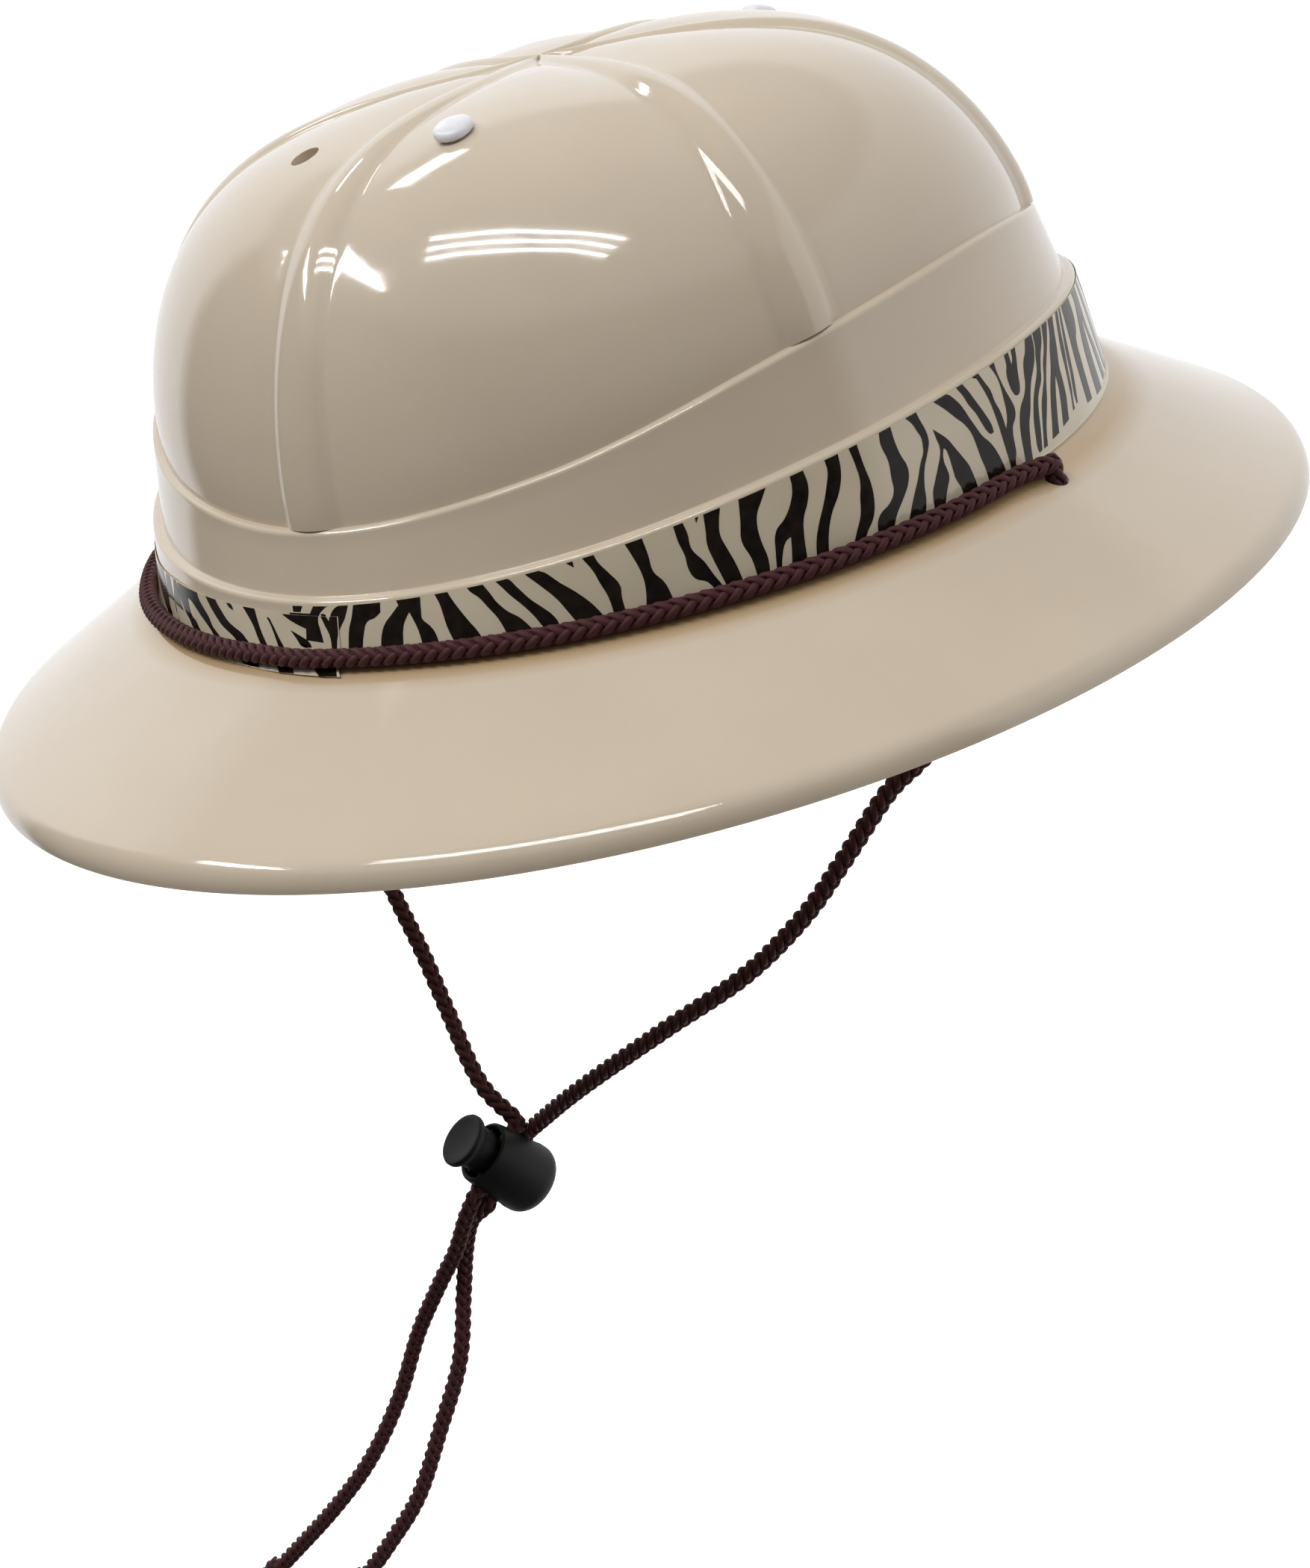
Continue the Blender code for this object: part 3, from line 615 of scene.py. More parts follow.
def cut_out(piece, cutters, sharp):
    """Cuts the cutters out of the piece for good and removes them."""
    for cutter in cutters:
        boolean = piece.modifiers.new(cutter.name, "BOOLEAN")
        boolean.operation = "DIFFERENCE"
        boolean.solver = "EXACT"
        boolean.object = cutter
    bpy.context.view_layer.update()
    whole = piece.data
    piece.data = bpy.data.meshes.new_from_object(piece.evaluated_get(bpy.context.evaluated_depsgraph_get()))
    piece.modifiers.clear()
    bpy.data.meshes.remove(whole)
    piece.data.name = piece.name
    piece.data.shade_smooth()
    piece.data.set_sharp_from_angle(angle=sharp)
    for cutter in cutters:
        bpy.data.objects.remove(cutter)


# Polypropylene, dyed cream and moulded in a polished tool: a clear gloss that ripples slightly over its
# flow, with a few fine rubs, and a warm tone where light passes into it.
polypropylene, shader = new_finish("moulded_polypropylene", Roughness=0.1, IOR=1.49, Coat_Weight=0.35,
                                   Coat_Roughness=0.02, Subsurface_Weight=0.12,
                                   Subsurface_Radius=(0.006, 0.004, 0.002), Subsurface_Scale=0.6)
place_map = add_node(polypropylene, "ShaderNodeTexCoord", {}).outputs["Object"]
flow = add_node(polypropylene, "ShaderNodeTexNoise", {"Vector": place_map, "Scale": 28.0, "Detail": 3.0})
dyed = add_node(polypropylene, "ShaderNodeValToRGB", {"Fac": flow.outputs["Fac"]},
                ((0.3, "#d2c2ad"), (0.7, "#d6c7b2")))
# All round the brim's root, low down just outside the band, ochre is painted into the colour: painted shade
# for the warm light caught in the crook between band and brim.
oval_map = add_node(polypropylene, "ShaderNodeMapping", {"Vector": place_map, "Scale": (
    2 / CROWN_WIDTH, 2 / CROWN_LENGTH, 0)})
from_axis = add_node(polypropylene, "ShaderNodeVectorMath", {0: oval_map.outputs["Vector"]},
                     operation="LENGTH")
near_root = add_node(polypropylene, "ShaderNodeMapRange", {
    "Value": from_axis.outputs["Value"], "From Min": 1.035, "From Max": 1.085, "To Min": 0.75, "To Max": 0.0})
height = add_node(polypropylene, "ShaderNodeSeparateXYZ", {"Vector": place_map})
below_band = add_node(polypropylene, "ShaderNodeMapRange", {
    "Value": height.outputs["Z"], "From Min": 0.003, "From Max": 0.0, "To Min": 0.0, "To Max": 1.0})
crook_painted_shade = add_node(polypropylene, "ShaderNodeMath", {
    0: near_root.outputs["Result"], 1: below_band.outputs["Result"]}, operation="MULTIPLY")
# Painted ochre shade, mixed into the dyed cream round the brim's root.
shaded = add_node(polypropylene, "ShaderNodeMix", {
    "Factor": crook_painted_shade.outputs["Value"], 6: dyed.outputs["Color"], 7: linear("#b8945c")},
                  data_type="RGBA")
ripple = add_node(polypropylene, "ShaderNodeTexNoise",
                  {"Vector": place_map, "Scale": 70.0, "Detail": 1.0, "Roughness": 0.4})
relief = add_node(polypropylene, "ShaderNodeBump",
                  {"Height": ripple.outputs["Fac"], "Strength": 0.10, "Distance": 0.0010})
rubs = add_node(polypropylene, "ShaderNodeTexNoise",
                {"Vector": place_map, "Scale": 160.0, "Detail": 4.0, "Roughness": 0.7})
gloss = add_node(polypropylene, "ShaderNodeMapRange", {
    "Value": rubs.outputs["Fac"], "From Min": 0.35, "From Max": 0.8, "To Min": 0.06, "To Max": 0.15})
set_inputs(polypropylene, shader, {"Base Color": shaded.outputs[2], "Roughness": gloss.outputs["Result"],
                                   "Normal": relief.outputs["Normal"]})

shell = finished_piece("moulded_shell", bm, polypropylene, "root")
drills = [drill("drill_" + name, *dome_place(*where), SUSPENSION_HOLE)
          for name, where in SUSPENSION_HOLES.items()]
drills += [drill(f"cord_drill_{side}", centre, Vector((0, 0, 1)), CORD_HOLE)
           for side, centre in holes.items()]
cut_out(shell, drills, SHARP)
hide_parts("helmet_shell")


# Printed film. A strip of clear film with black stripes printed on it, wound once round the lower band.
# Its two ends lap at the front, where the outer end has slipped down and its foot lies on the brim.
FILM_THICKNESS = 0.00015
FILM_TOP_MARGIN = 0.0008
FILM_BOTTOM = 0.0014
FILM_GAP = 0.0003
FILM_STEP = 0.0002
FLAP_BEND = 0.0022
FLAP_SHEAR = math.radians(0.38) / 0.001
FLAP_SHEAR_FROM = math.radians(330)
FLAP_SHEAR_SPAN = 0.3
FLAP_FOOT = 0.0006
# Degrees and the film's top as a share of its full height, then degrees and the flap's depth below its foot.
FILM_TOP_TABLE = ((-2.5, 1.0), (101, 1.0), (200, 1.0), (262, 0.80), (305, 0.66), (322, 0.66), (332, 0.78),
                  (342, 0.82), (350, 0.85), (357, 0.82), (365, 0.78))
FLAP_TABLE = ((-2.5, 0.0008), (315, 0.0008), (338, 0.0029), (351, 0.0044), (358, 0.0054), (365, 0.0060))
# How wide one degree of the film is where its outlines are laid flat.
DEGREE_WIDTH = 0.0018


def film_surface(angle, climb, lift):
    """On the film. Climb is the height above its foot, and below zero it bends out over the brim."""
    lifted = smooth((angle - FILM_START - 2 * math.pi + FILM_RAMP) / FILM_RAMP)
    gap = FILM_GAP + FILM_STEP * lifted + lift
    face = lower_top(angle) - LIP_RADIUS - ROOT_FILLET

    def on_band(height):
        return crown_oval(angle, LOWER_BAND_LEAN * (height - ROOT_FILLET) / face - gap, height)

    if climb >= 0:
        return on_band(FILM_BOTTOM + climb)
    down = -climb
    angle += FLAP_SHEAR * max(0.0, down - FLAP_BEND) * smooth((angle - FLAP_SHEAR_FROM) / FLAP_SHEAR_SPAN)
    root = crown_oval(angle, -ROOT_FILLET, 0)
    slope = (rim_point(angle, 1) - root).normalized()
    upward = Vector((0, 0, gap))
    if down > FLAP_BEND:
        return root + slope * (down - FLAP_BEND + FLAP_FOOT) + upward
    t = down / FLAP_BEND
    corner, foot = crown_oval(angle, -gap, gap), root + slope * FLAP_FOOT + upward
    return on_band(FILM_BOTTOM) * (1 - t) ** 2 + corner * 2 * t * (1 - t) + foot * t * t


def film_height(angle):
    """The film's full height at an angle, from its foot."""
    return lower_top(angle) - FILM_TOP_MARGIN - FILM_BOTTOM


def film_top(degrees):
    """The film's own height there, as its top edge runs lower than the band's lip in places."""
    return film_height(math.radians(degrees)) * table_value(FILM_TOP_TABLE, degrees)


film_length = 2 * math.pi + FILM_LAP
FILM_COLUMNS, FILM_ROWS, FLAP_ROWS = 288, 6, 8
bm = bmesh.new()
grid = bmesh.ops.create_grid(bm, x_segments=FILM_COLUMNS, y_segments=FILM_ROWS + FLAP_ROWS, size=0.5)["verts"]
for vert in grid:
    angle = FILM_START + film_length * (vert.co.x + 0.5)
    row = round((vert.co.y + 0.5) * (FILM_ROWS + FLAP_ROWS)) - FLAP_ROWS
    if row >= 0:
        climb = film_top(math.degrees(angle)) * row / FILM_ROWS
    else:
        climb = table_value(FLAP_TABLE, math.degrees(angle)) * row / FLAP_ROWS
    vert.co = film_surface(angle, climb, 0)
bmesh.ops.recalc_face_normals(bm, faces=bm.faces)
if sum(face.normal.dot(face.calc_center_median()) for face in bm.faces) < 0:
    bmesh.ops.reverse_faces(bm, faces=bm.faces)
bmesh.ops.solidify(bm, geom=bm.faces, thickness=FILM_THICKNESS)

# Clear film laid on the cream plastic: the plastic shows through it, a little greyer, under a high gloss.
clear_film, shader = new_finish("clear_film_on_cream", Roughness=0.10, IOR=1.50, Coat_Weight=0.2,
                                Coat_Roughness=0.03)
place_map = add_node(clear_film, "ShaderNodeTexCoord", {}).outputs["Object"]
haze = add_node(clear_film, "ShaderNodeTexNoise", {"Vector": place_map, "Scale": 55.0, "Detail": 2.0})
seen_through = add_node(clear_film, "ShaderNodeValToRGB", {"Fac": haze.outputs["Fac"]},
                        ((0.3, "#d1c3aa"), (0.7, "#dbceb6")))
buckles = add_node(clear_film, "ShaderNodeTexNoise", {"Vector": place_map, "Scale": 110.0, "Detail": 1.0})
relief = add_node(clear_film, "ShaderNodeBump",
                  {"Height": buckles.outputs["Fac"], "Strength": 0.12, "Distance": 0.0008})
set_inputs(clear_film, shader,
           {"Base Color": seen_through.outputs["Color"], "Normal": relief.outputs["Normal"]})
film = finished_piece("film_strip", bm, clear_film, "root", SHARP)
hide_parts("zebra_band")

# Stripes printed on the film in one black brown ink. Each is an outline whose points were picked by eye in
# the photograph and then worked out on the band, through the camera above, by a program of their own. They
# are degrees round the helmet from the front and heights as percentages of the film's. The flap's were
# given as metres below its foot.
PRINT_LIFT = 0.00004
PRINT_MARGIN = 0.0002
OUTER_TOP_LINE = 0.81
CUT_STEP = 0.0036
CUT_LEVELS = (-0.0050, -0.0040, -0.0030, -0.0022, -0.0014, -0.0007, 0.0)
CORNER_TURN = math.radians(52)
INNER_END, OUTER_START = 350, 300
SHORT_OF_END = 0.1
FRONT_STRIPES = (
    ((-2, 100), (-0.5, 100), (-0.8, 87), (-1.9, 87)),
    ((-4, 85), (0.6, 84), (1.1, 100), (3.7, 100), (3.2, 100), (2.4, 91), (2, 84), (1.8, 69), (2, 53),
     (2.4, 23), (2.5, 12), (-0.1, 11), (0, 52), (-1.2, 60), (-2.5, 70)),
    ((-2.4, 48), (-1, 37), (0.4, 22), (0.7, 12), (-0.8, 14), (-1.5, 29)),
    ((2.1, 83), (2.7, 83), (3.3, 69), (3.7, 87), (4.7, 100), (5, 100), (6, 100), (5.7, 85), (5.4, 72),
     (4.8, 55), (4.4, 38), (4.1, 5), (3.5, 5), (3.3, 38), (2.8, 57)),
)
SIDE_STRIPES = (
    ((7.3, 100), (10.2, 100), (10.1, 80), (9.3, 70), (8.3, 63), (7.8, 43), (7.4, 6), (5.6, 7), (5.9, 51),
     (6.3, 71), (6.7, 100)),
    ((12.2, 100), (15.1, 100), (15, 73), (15, 59), (15.8, 43), (16.2, 32), (16.6, 5), (14.7, 4), (14.4, 36),
     (14, 57), (13.6, 74), (13.1, 62), (12.7, 47), (12.4, 2), (9.7, 3), (10, 37), (10.5, 56), (11.3, 71),
     (12.4, 90)),
    ((16.8, 100), (18.3, 100), (18.6, 88), (19.3, 66), (20.1, 43), (21, 19), (21.3, 6), (18.3, 5), (17.7, 36),
     (17.5, 55), (17.2, 82)),
    ((20.5, 100), (22.3, 100), (22.9, 83), (23.4, 67), (24.4, 47), (25.5, 33), (26.4, 15), (26.8, 6), (24, 5),
     (23.3, 37), (22.5, 58), (21.6, 80), (20.9, 91)),
    ((23.7, 100), (25, 100), (25.8, 84), (27, 58), (28, 42), (28.9, 26), (29.3, 13), (29.3, 3), (28.1, 5),
     (27, 31), (26.2, 49), (24.9, 74), (24.2, 90)),
    ((26.9, 100), (28.4, 100), (30.3, 73), (32, 48), (33.3, 23), (34, 0), (34, -8), (31.5, -4), (30.4, 28),
     (29.6, 50), (28.2, 77)),
    ((31.3, 100), (32, 100), (32, 90)),
    ((33, 100), (34.2, 100), (34.5, 87), (35.3, 68), (36.1, 46), (36, 29), (36.1, 0), (34.9, 0), (34.7, 34),
     (34.2, 57), (33.8, 77)),
    ((37.5, 100), (39.3, 100), (39.5, 76), (39.6, 52), (40.4, 34), (40.8, 11), (40.9, 0), (38, 0), (38.5, 37),
     (38.4, 57), (37.9, 83)),
    ((42.6, 100), (43.6, 100), (43.8, 85), (43.8, 65), (44.7, 44), (45.3, 24), (45.9, 6), (46.1, -6),
     (45.6, -5), (44.5, 18), (43.4, 27), (43, 42), (43, 58), (42.7, 79)),
    ((44.9, 100), (45.3, 100), (44.9, 93)),
    ((45.8, 100), (47.6, 100), (47.1, 83), (46.9, 69), (47.2, 51), (47.6, 32), (47.9, 7), (47.9, -5),
     (46.4, -4), (45.9, 26), (45.6, 44), (45.4, 63), (45.6, 79)),
    ((49.6, 100), (52.6, 100), (51.8, 88), (51, 75), (50.7, 60), (50.7, 44), (50.9, 23), (50.5, -6),
     (49.4, -6), (49.3, 29), (48.8, 52), (49.2, 75)),
    ((55.3, 100), (56.8, 100), (56.9, 83), (56.4, 67), (55.5, 51), (55, 30), (54.7, 8), (54.3, -7),
     (52.7, -7), (53.4, 21), (53.7, 37), (53.1, 34), (52.4, 21), (51.7, -5), (51.3, -5), (51.8, 27),
     (52.4, 49), (53.6, 59), (54.7, 74), (55.2, 87)),
    ((59.3, 100), (60.9, 100), (60.7, 82), (59.9, 63), (58.4, 43), (57.4, 20), (56.8, -8), (55.5, -7),
     (56.1, 22), (56.8, 38), (57.9, 57), (58.8, 75), (59.3, 88)),
    ((62.2, 100), (63.2, 100), (63.3, 78), (63.5, 56), (63.2, 35), (62.6, 22), (61.5, 10), (60.4, -10),
     (59, -9), (60.5, 16), (61.4, 31), (61.9, 48), (62.4, 64), (62.4, 82)),
    ((66, 100), (67.5, 100), (67.5, 85), (67.7, 70), (68.1, 55), (67.7, 42), (66.6, 29), (65.3, 16),
     (63.8, -11), (62.6, -10), (62.9, 14), (63.5, 23), (64.9, 30), (65.7, 39), (65.9, 53), (66.1, 70),
     (65.8, 89)),
    ((69.5, 100), (71, 100), (71.2, 91), (71.5, 80), (71.5, 69), (71.2, 63), (70.7, 56), (70.1, 48),
     (69.4, 31), (69.1, 17), (68, -6), (65.9, -4), (67.6, 23), (68.8, 39), (69.8, 54), (70.4, 61), (70.6, 67),
     (70.7, 75), (70.4, 84), (70.1, 92)),
    ((72.4, 77), (73, 71), (73.9, 61), (74.5, 50), (75.1, 39), (75.6, 29), (75.8, 19), (75.9, 9), (75.7, -5),
     (74.9, -11), (73.3, -10), (73.8, 10), (73.4, 24), (73.4, 29), (73.4, 37), (73.4, 46), (73.2, 54),
     (73, 55), (72.7, 49), (72.6, 43), (72.7, 35), (72.7, 28), (72.1, 19), (71.5, 10), (70.8, -7), (69.6, -7),
     (69.9, 12), (70.2, 22), (70.7, 29), (71.7, 42), (72.3, 50), (72.6, 58), (72.5, 67)),
    ((73.5, 100), (75.4, 100), (76.4, 91), (77.1, 80), (77.6, 68), (78.2, 55), (78.6, 47), (79.5, 36),
     (80.1, 23), (80.4, 10), (80.5, -7), (77.6, -6), (77.7, 16), (77.5, 29), (77.4, 43), (77.2, 55),
     (76.6, 66), (75.7, 76), (74.6, 89)),
    ((77, 100), (78, 100), (78.6, 90), (79.2, 78), (79.9, 64), (80.4, 51), (80.4, 44), (79.9, 44), (79.5, 48),
     (79.1, 57), (78.7, 68), (78, 80), (77.6, 90)),
    ((79.6, 100), (80.7, 100), (81.3, 89), (81.8, 79), (81.9, 69), (82.3, 57), (82.4, 40), (83, 48),
     (83.3, 57), (83.4, 66), (83.5, 76), (83.4, 86), (83.1, 93), (82.7, 100), (83.6, 100), (83.6, 92),
     (83.8, 82), (84.1, 71), (84.5, 61), (84.7, 51), (84.3, 44), (83.6, 39), (83.2, 32), (83, 23), (82.8, 15),
     (82.3, 8), (82.2, -6), (81.2, -6), (81.4, 14), (81.4, 24), (81.4, 36), (81.4, 48), (81.3, 62),
     (81.1, 74), (80.7, 86), (80.1, 100)),
    ((85.6, 100), (86.4, 100), (86.4, 93), (86.4, 88), (86.8, 92), (87, 100), (87.9, 100), (87.6, 91),
     (87.2, 82), (86.9, 73), (86.6, 65), (86.1, 61), (85.5, 62), (85.2, 66), (85, 74), (85.1, 84),
     (85.5, 91)),
    ((90.2, 100), (91.8, 100), (91.6, 90), (91, 80), (90.1, 72), (89, 64), (88.2, 55), (87.2, 41), (86.4, 32),
     (85.7, 18), (85.3, 7), (85, -5), (83.6, -4), (84, 9), (84.3, 23), (84.8, 37), (85.7, 49), (87.1, 58),
     (87.8, 66), (88.1, 74), (88.7, 84), (89.5, 90)),
    ((92.1, 100), (94.2, 100), (93.6, 89), (92.5, 79), (91.6, 68), (91, 59), (90, 52), (89.3, 46), (88.7, 36),
     (88.1, 22), (87.2, 3), (86.6, 2), (86.5, 7), (86.8, 18), (87.3, 31), (88.1, 44), (89.1, 55), (90.1, 63),
     (90.8, 70), (91.3, 80), (91.8, 88)),
    ((94.6, 100), (96.1, 100), (95.1, 88), (93.7, 74), (92.7, 64), (91.8, 53), (91, 41), (90.2, 31),
     (89.1, 17), (88.4, 3), (87.6, 3), (88.3, 16), (89, 29), (89.7, 40), (90.6, 49), (91.6, 58), (92.4, 70),
     (93.7, 83)),
    ((96.5, 100), (98, 100), (97.3, 87), (96.6, 72), (95.8, 57), (95.6, 43), (95.3, 30), (94.6, 17),
     (94.3, 10), (92.6, 8), (93.1, 18), (93.8, 32), (94.2, 44), (94.3, 53), (93.6, 45), (92.6, 30),
     (91.8, 16), (91.3, 6), (89.7, 5), (90.5, 18), (91.4, 33), (92.5, 48), (93.8, 62), (94.9, 77),
     (95.9, 88)),
    ((99.1, 100), (99.9, 100), (99, 82), (98.5, 66), (97.8, 49), (97.2, 31), (96.5, 17), (96.5, 14),
     (95.9, 13), (96.4, 24), (96.8, 37), (97.2, 51), (97.5, 66), (98.2, 83)),
    ((100.4, 100), (100.9, 100), (100.1, 79), (99.4, 58), (98.7, 37), (97.8, 19), (97.7, 16), (97.3, 16),
     (97.4, 25), (98.1, 43), (98.7, 62), (99.5, 81)),
)
OUTER_END = (
    ((-6.3, 69), (-6, 70), (-5.4, 58), (-4.8, 42), (-4.3, 28), (-3.7, 13), (-3.4, 3), (-4.3, 2), (-5.1, 34),
     (-5.6, 52)),
    ((-10.6, 84), (-8.4, 85), (-8.1, 70), (-7.7, 51), (-7.2, 33), (-6.5, 12), (-6.2, 2), (-7.2, 0),
     (-8.1, 26), (-8.6, 44), (-9.4, 62)),
    ((-13.9, 83), (-13.1, 85), (-12.4, 71), (-13.3, 75)),
    ((-18.7, 82), (-16.5, 84), (-15.8, 74), (-14.7, 59), (-13.7, 46), (-12.2, 35), (-10.9, 26), (-10, 14),
     (-8.9, -3), (-11, -6), (-12.5, 14), (-13.8, 24), (-15.1, 34), (-16.2, 47), (-17.3, 61)),
    ((-27.2, 77), (-20.9, 81), (-20.5, 71), (-19.2, 55), (-18, 41), (-17.2, 25), (-16, 13), (-14.4, -7),
     (-15.8, -9), (-17.5, 14), (-18.7, 26), (-20, 37), (-21.3, 48), (-22.7, 58), (-23.7, 60), (-23.4, 46),
     (-22.6, 29), (-21.5, 22), (-20.8, 12), (-18.9, -7), (-20.6, -8), (-22.7, 8), (-23.4, 18), (-24.6, 29),
     (-25.7, 42), (-26.7, 58)),
    ((-28.8, 78), (-27.8, 77), (-27.1, 64), (-26.4, 47), (-25.4, 29), (-24.7, 14), (-23.6, -2), (-24.9, -6),
     (-26.7, 0), (-28, 15), (-28.7, 34), (-28.7, 57)),
    ((-32.2, 77), (-30.6, 79), (-30, 64), (-29.2, 44), (-28.3, 28), (-27.8, 11), (-27.4, -3), (-28.8, -5),
     (-30.1, 7), (-31.1, 17), (-31.8, 38), (-32.3, 57)),
    ((-38.4, 64), (-34.4, 76), (-33.3, 62), (-32.3, 43), (-31, 25), (-30.2, 2), (-31.2, -4), (-33.2, 5),
     (-35.1, 16), (-37.1, 30), (-38.2, 45)),
)
FLAP_STRIPES = (
    ((-10.5, -0.0015), (-7.6, -0.0015), (-6.9, -0.0044), (-8.4, -0.0043), (-9.9, -0.0037)),
    ((-4.4, -0.0015), (-2, -0.0015), (-1.5, -0.0054), (-3.7, -0.0053)),
    ((0.5, -0.0015), (4.3, -0.0015), (4.2, -0.0059), (1.9, -0.0059)),
)
# Each row prints a set of outlines on from an angle. Where the photograph doesn't show the film, the side's
# stripes are repeated.
CHART = ((0, FRONT_STRIPES), (0, SIDE_STRIPES), (94.8, SIDE_STRIPES[:22]), (175, SIDE_STRIPES[:22]),
         (252, SIDE_STRIPES[:16]))


def flat_outlines(name, outlines):
    """Filled outlines laid flat, with smooth sides and sharp corners where they turn by CORNER_TURN."""
    curve = bpy.data.curves.new(name, "CURVE")
    curve.dimensions = "2D"
    curve.fill_mode = "BOTH"
    curve.resolution_u = 4
    for outline in outlines:
        spline = curve.splines.new("BEZIER")
        spline.bezier_points.add(len(outline) - 1)
        spline.use_cyclic_u = True
        flat = [Vector((degrees * DEGREE_WIDTH, height, 0)) for degrees, height in outline]
        for index, (point, here) in enumerate(zip(spline.bezier_points, flat)):
            before, after = here - flat[index - 1], flat[(index + 1) % len(flat)] - here
            kind = "VECTOR" if before.angle(after, 0) > CORNER_TURN else "AUTO"
            point.co = here
            point.handle_left_type = kind
            point.handle_right_type = kind
    drawn = bpy.data.objects.new(name, curve)
    bpy.context.scene.collection.objects.link(drawn)
    bpy.context.view_layer.update()
    mesh = bpy.data.meshes.new_from_object(drawn.evaluated_get(bpy.context.evaluated_depsgraph_get()))
    bpy.data.objects.remove(drawn)
    bpy.data.curves.remove(curve)
    flat_bm = bmesh.new()
    flat_bm.from_mesh(mesh)
    bpy.data.meshes.remove(mesh)
    return flat_bm


def slice_flat(flat_bm, place, normal, clear=False):
    """Cuts new edges along a plane, and clears away what is beyond it if asked."""
    geometry = flat_bm.verts[:] + flat_bm.edges[:] + flat_bm.faces[:]
    bmesh.ops.bisect_plane(flat_bm, geom=geometry, plane_co=place, plane_no=normal, clear_outer=clear,
                           dist=1e-7)


def print_stripes(name, outlines, first, last):
    """Prints outlines on the film between two angles, cut small enough to bend with it."""
    stripe_bm = flat_outlines(name, outlines)
    low = min(vert.co.x for vert in stripe_bm.verts)
    high = max(vert.co.x for vert in stripe_bm.verts)
    slice_flat(stripe_bm, (first * DEGREE_WIDTH, 0, 0), (-1, 0, 0), True)
    slice_flat(stripe_bm, (last * DEGREE_WIDTH, 0, 0), (1, 0, 0), True)
    for number in range(math.ceil(low / CUT_STEP), math.ceil(high / CUT_STEP)):
        slice_flat(stripe_bm, (number * CUT_STEP, 0, 0), (1, 0, 0))
    for level in (*CUT_LEVELS, film_height(0) * OUTER_TOP_LINE):
        slice_flat(stripe_bm, (0, level, 0), (0, 1, 0))
    above_film = [vert for vert in stripe_bm.verts
                  if vert.co.y > film_top(vert.co.x / DEGREE_WIDTH) + PRINT_MARGIN]
    bmesh.ops.delete(stripe_bm, geom=above_film, context="VERTS")
    for vert in stripe_bm.verts:
        degrees = vert.co.x / DEGREE_WIDTH
        vert.co = film_surface(math.radians(degrees), min(vert.co.y, film_top(degrees)), PRINT_LIFT)
    bmesh.ops.remove_doubles(stripe_bm, verts=stripe_bm.verts, dist=1e-7)
    bmesh.ops.dissolve_degenerate(stripe_bm, edges=stripe_bm.edges, dist=1e-6)
    printed = finished_piece(name, stripe_bm, printing_ink, "root").data
    if sum(face.normal.dot(face.center) * face.area for face in printed.polygons) < 0:
        printed.flip_normals()


# Gravure ink on the film's face: dense black brown, glossy as the film is.
printing_ink, shader = new_finish("printing_ink", Roughness=0.14, IOR=1.50, Specular_IOR_Level=0.25)
place_map = add_node(printing_ink, "ShaderNodeTexCoord", {}).outputs["Object"]
density = add_node(printing_ink, "ShaderNodeTexNoise", {"Vector": place_map, "Scale": 400.0, "Detail": 3.0})
inked = add_node(printing_ink, "ShaderNodeValToRGB", {"Fac": density.outputs["Fac"]},
                 ((0.35, "#140f0b"), (0.75, "#271f18")))
set_inputs(printing_ink, shader, {"Base Color": inked.outputs["Color"]})

right_stripes = []
for first, outlines in CHART:
    for outline in outlines:
        right_stripes.append([(first + degrees, share / 100 * film_top(first + degrees))
                              for degrees, share in outline])
# Below the outer end the strip's own stripes show through it, so they are drawn on it there.
left_stripes = [[(360 + degrees, share / 100 * film_height(math.radians(degrees)))
                 for degrees, share in outline] for outline in OUTER_END + FRONT_STRIPES]
left_stripes += [[(360 + degrees, height) for degrees, height in outline] for outline in FLAP_STRIPES]
print_stripes("stripes_of_strip", right_stripes, math.degrees(FILM_START), INNER_END)
print_stripes("stripes_of_outer_end", left_stripes, OUTER_START,
              math.degrees(FILM_START + film_length) - SHORT_OF_END)


# Rivets. Three white polyethylene rivets, made to hold the tabs of a head band. Each has a domed head that
# was pressed on hot, with a burr at one side. The fourth hole is left open.
RIVET_HEAD = 0.0078
RIVET_HEAD_HEIGHT = 0.0024
RIVET_FLANGE = 0.0090
RIVET_FLANGE_THICKNESS = 0.0012
RIVET_BURR = 0.0006
RIVET_BURR_TURN = 2.2
RIVET_WARP = 0.0002
RIVET_EDGE = 0.0003
RIVET_SIDES = 48
OPEN_HOLE = "front_left"


def turned(profile, sides):
    """A line of radius and height turned round the Z axis into a closed solid."""
    lathe = bmesh.new()
    line = [lathe.verts.new((radius, 0, height)) for radius, height in profile]
    edges = [lathe.edges.new(pair) for pair in zip(line, line[1:])]
    bmesh.ops.spin(lathe, geom=line + edges, cent=(0, 0, 0), axis=(0, 0, 1), angle=2 * math.pi, steps=sides,
                   use_merge=True)
    bmesh.ops.remove_doubles(lathe, verts=lathe.verts, dist=1e-6)
    bmesh.ops.recalc_face_normals(lathe, faces=lathe.faces)
    return lathe


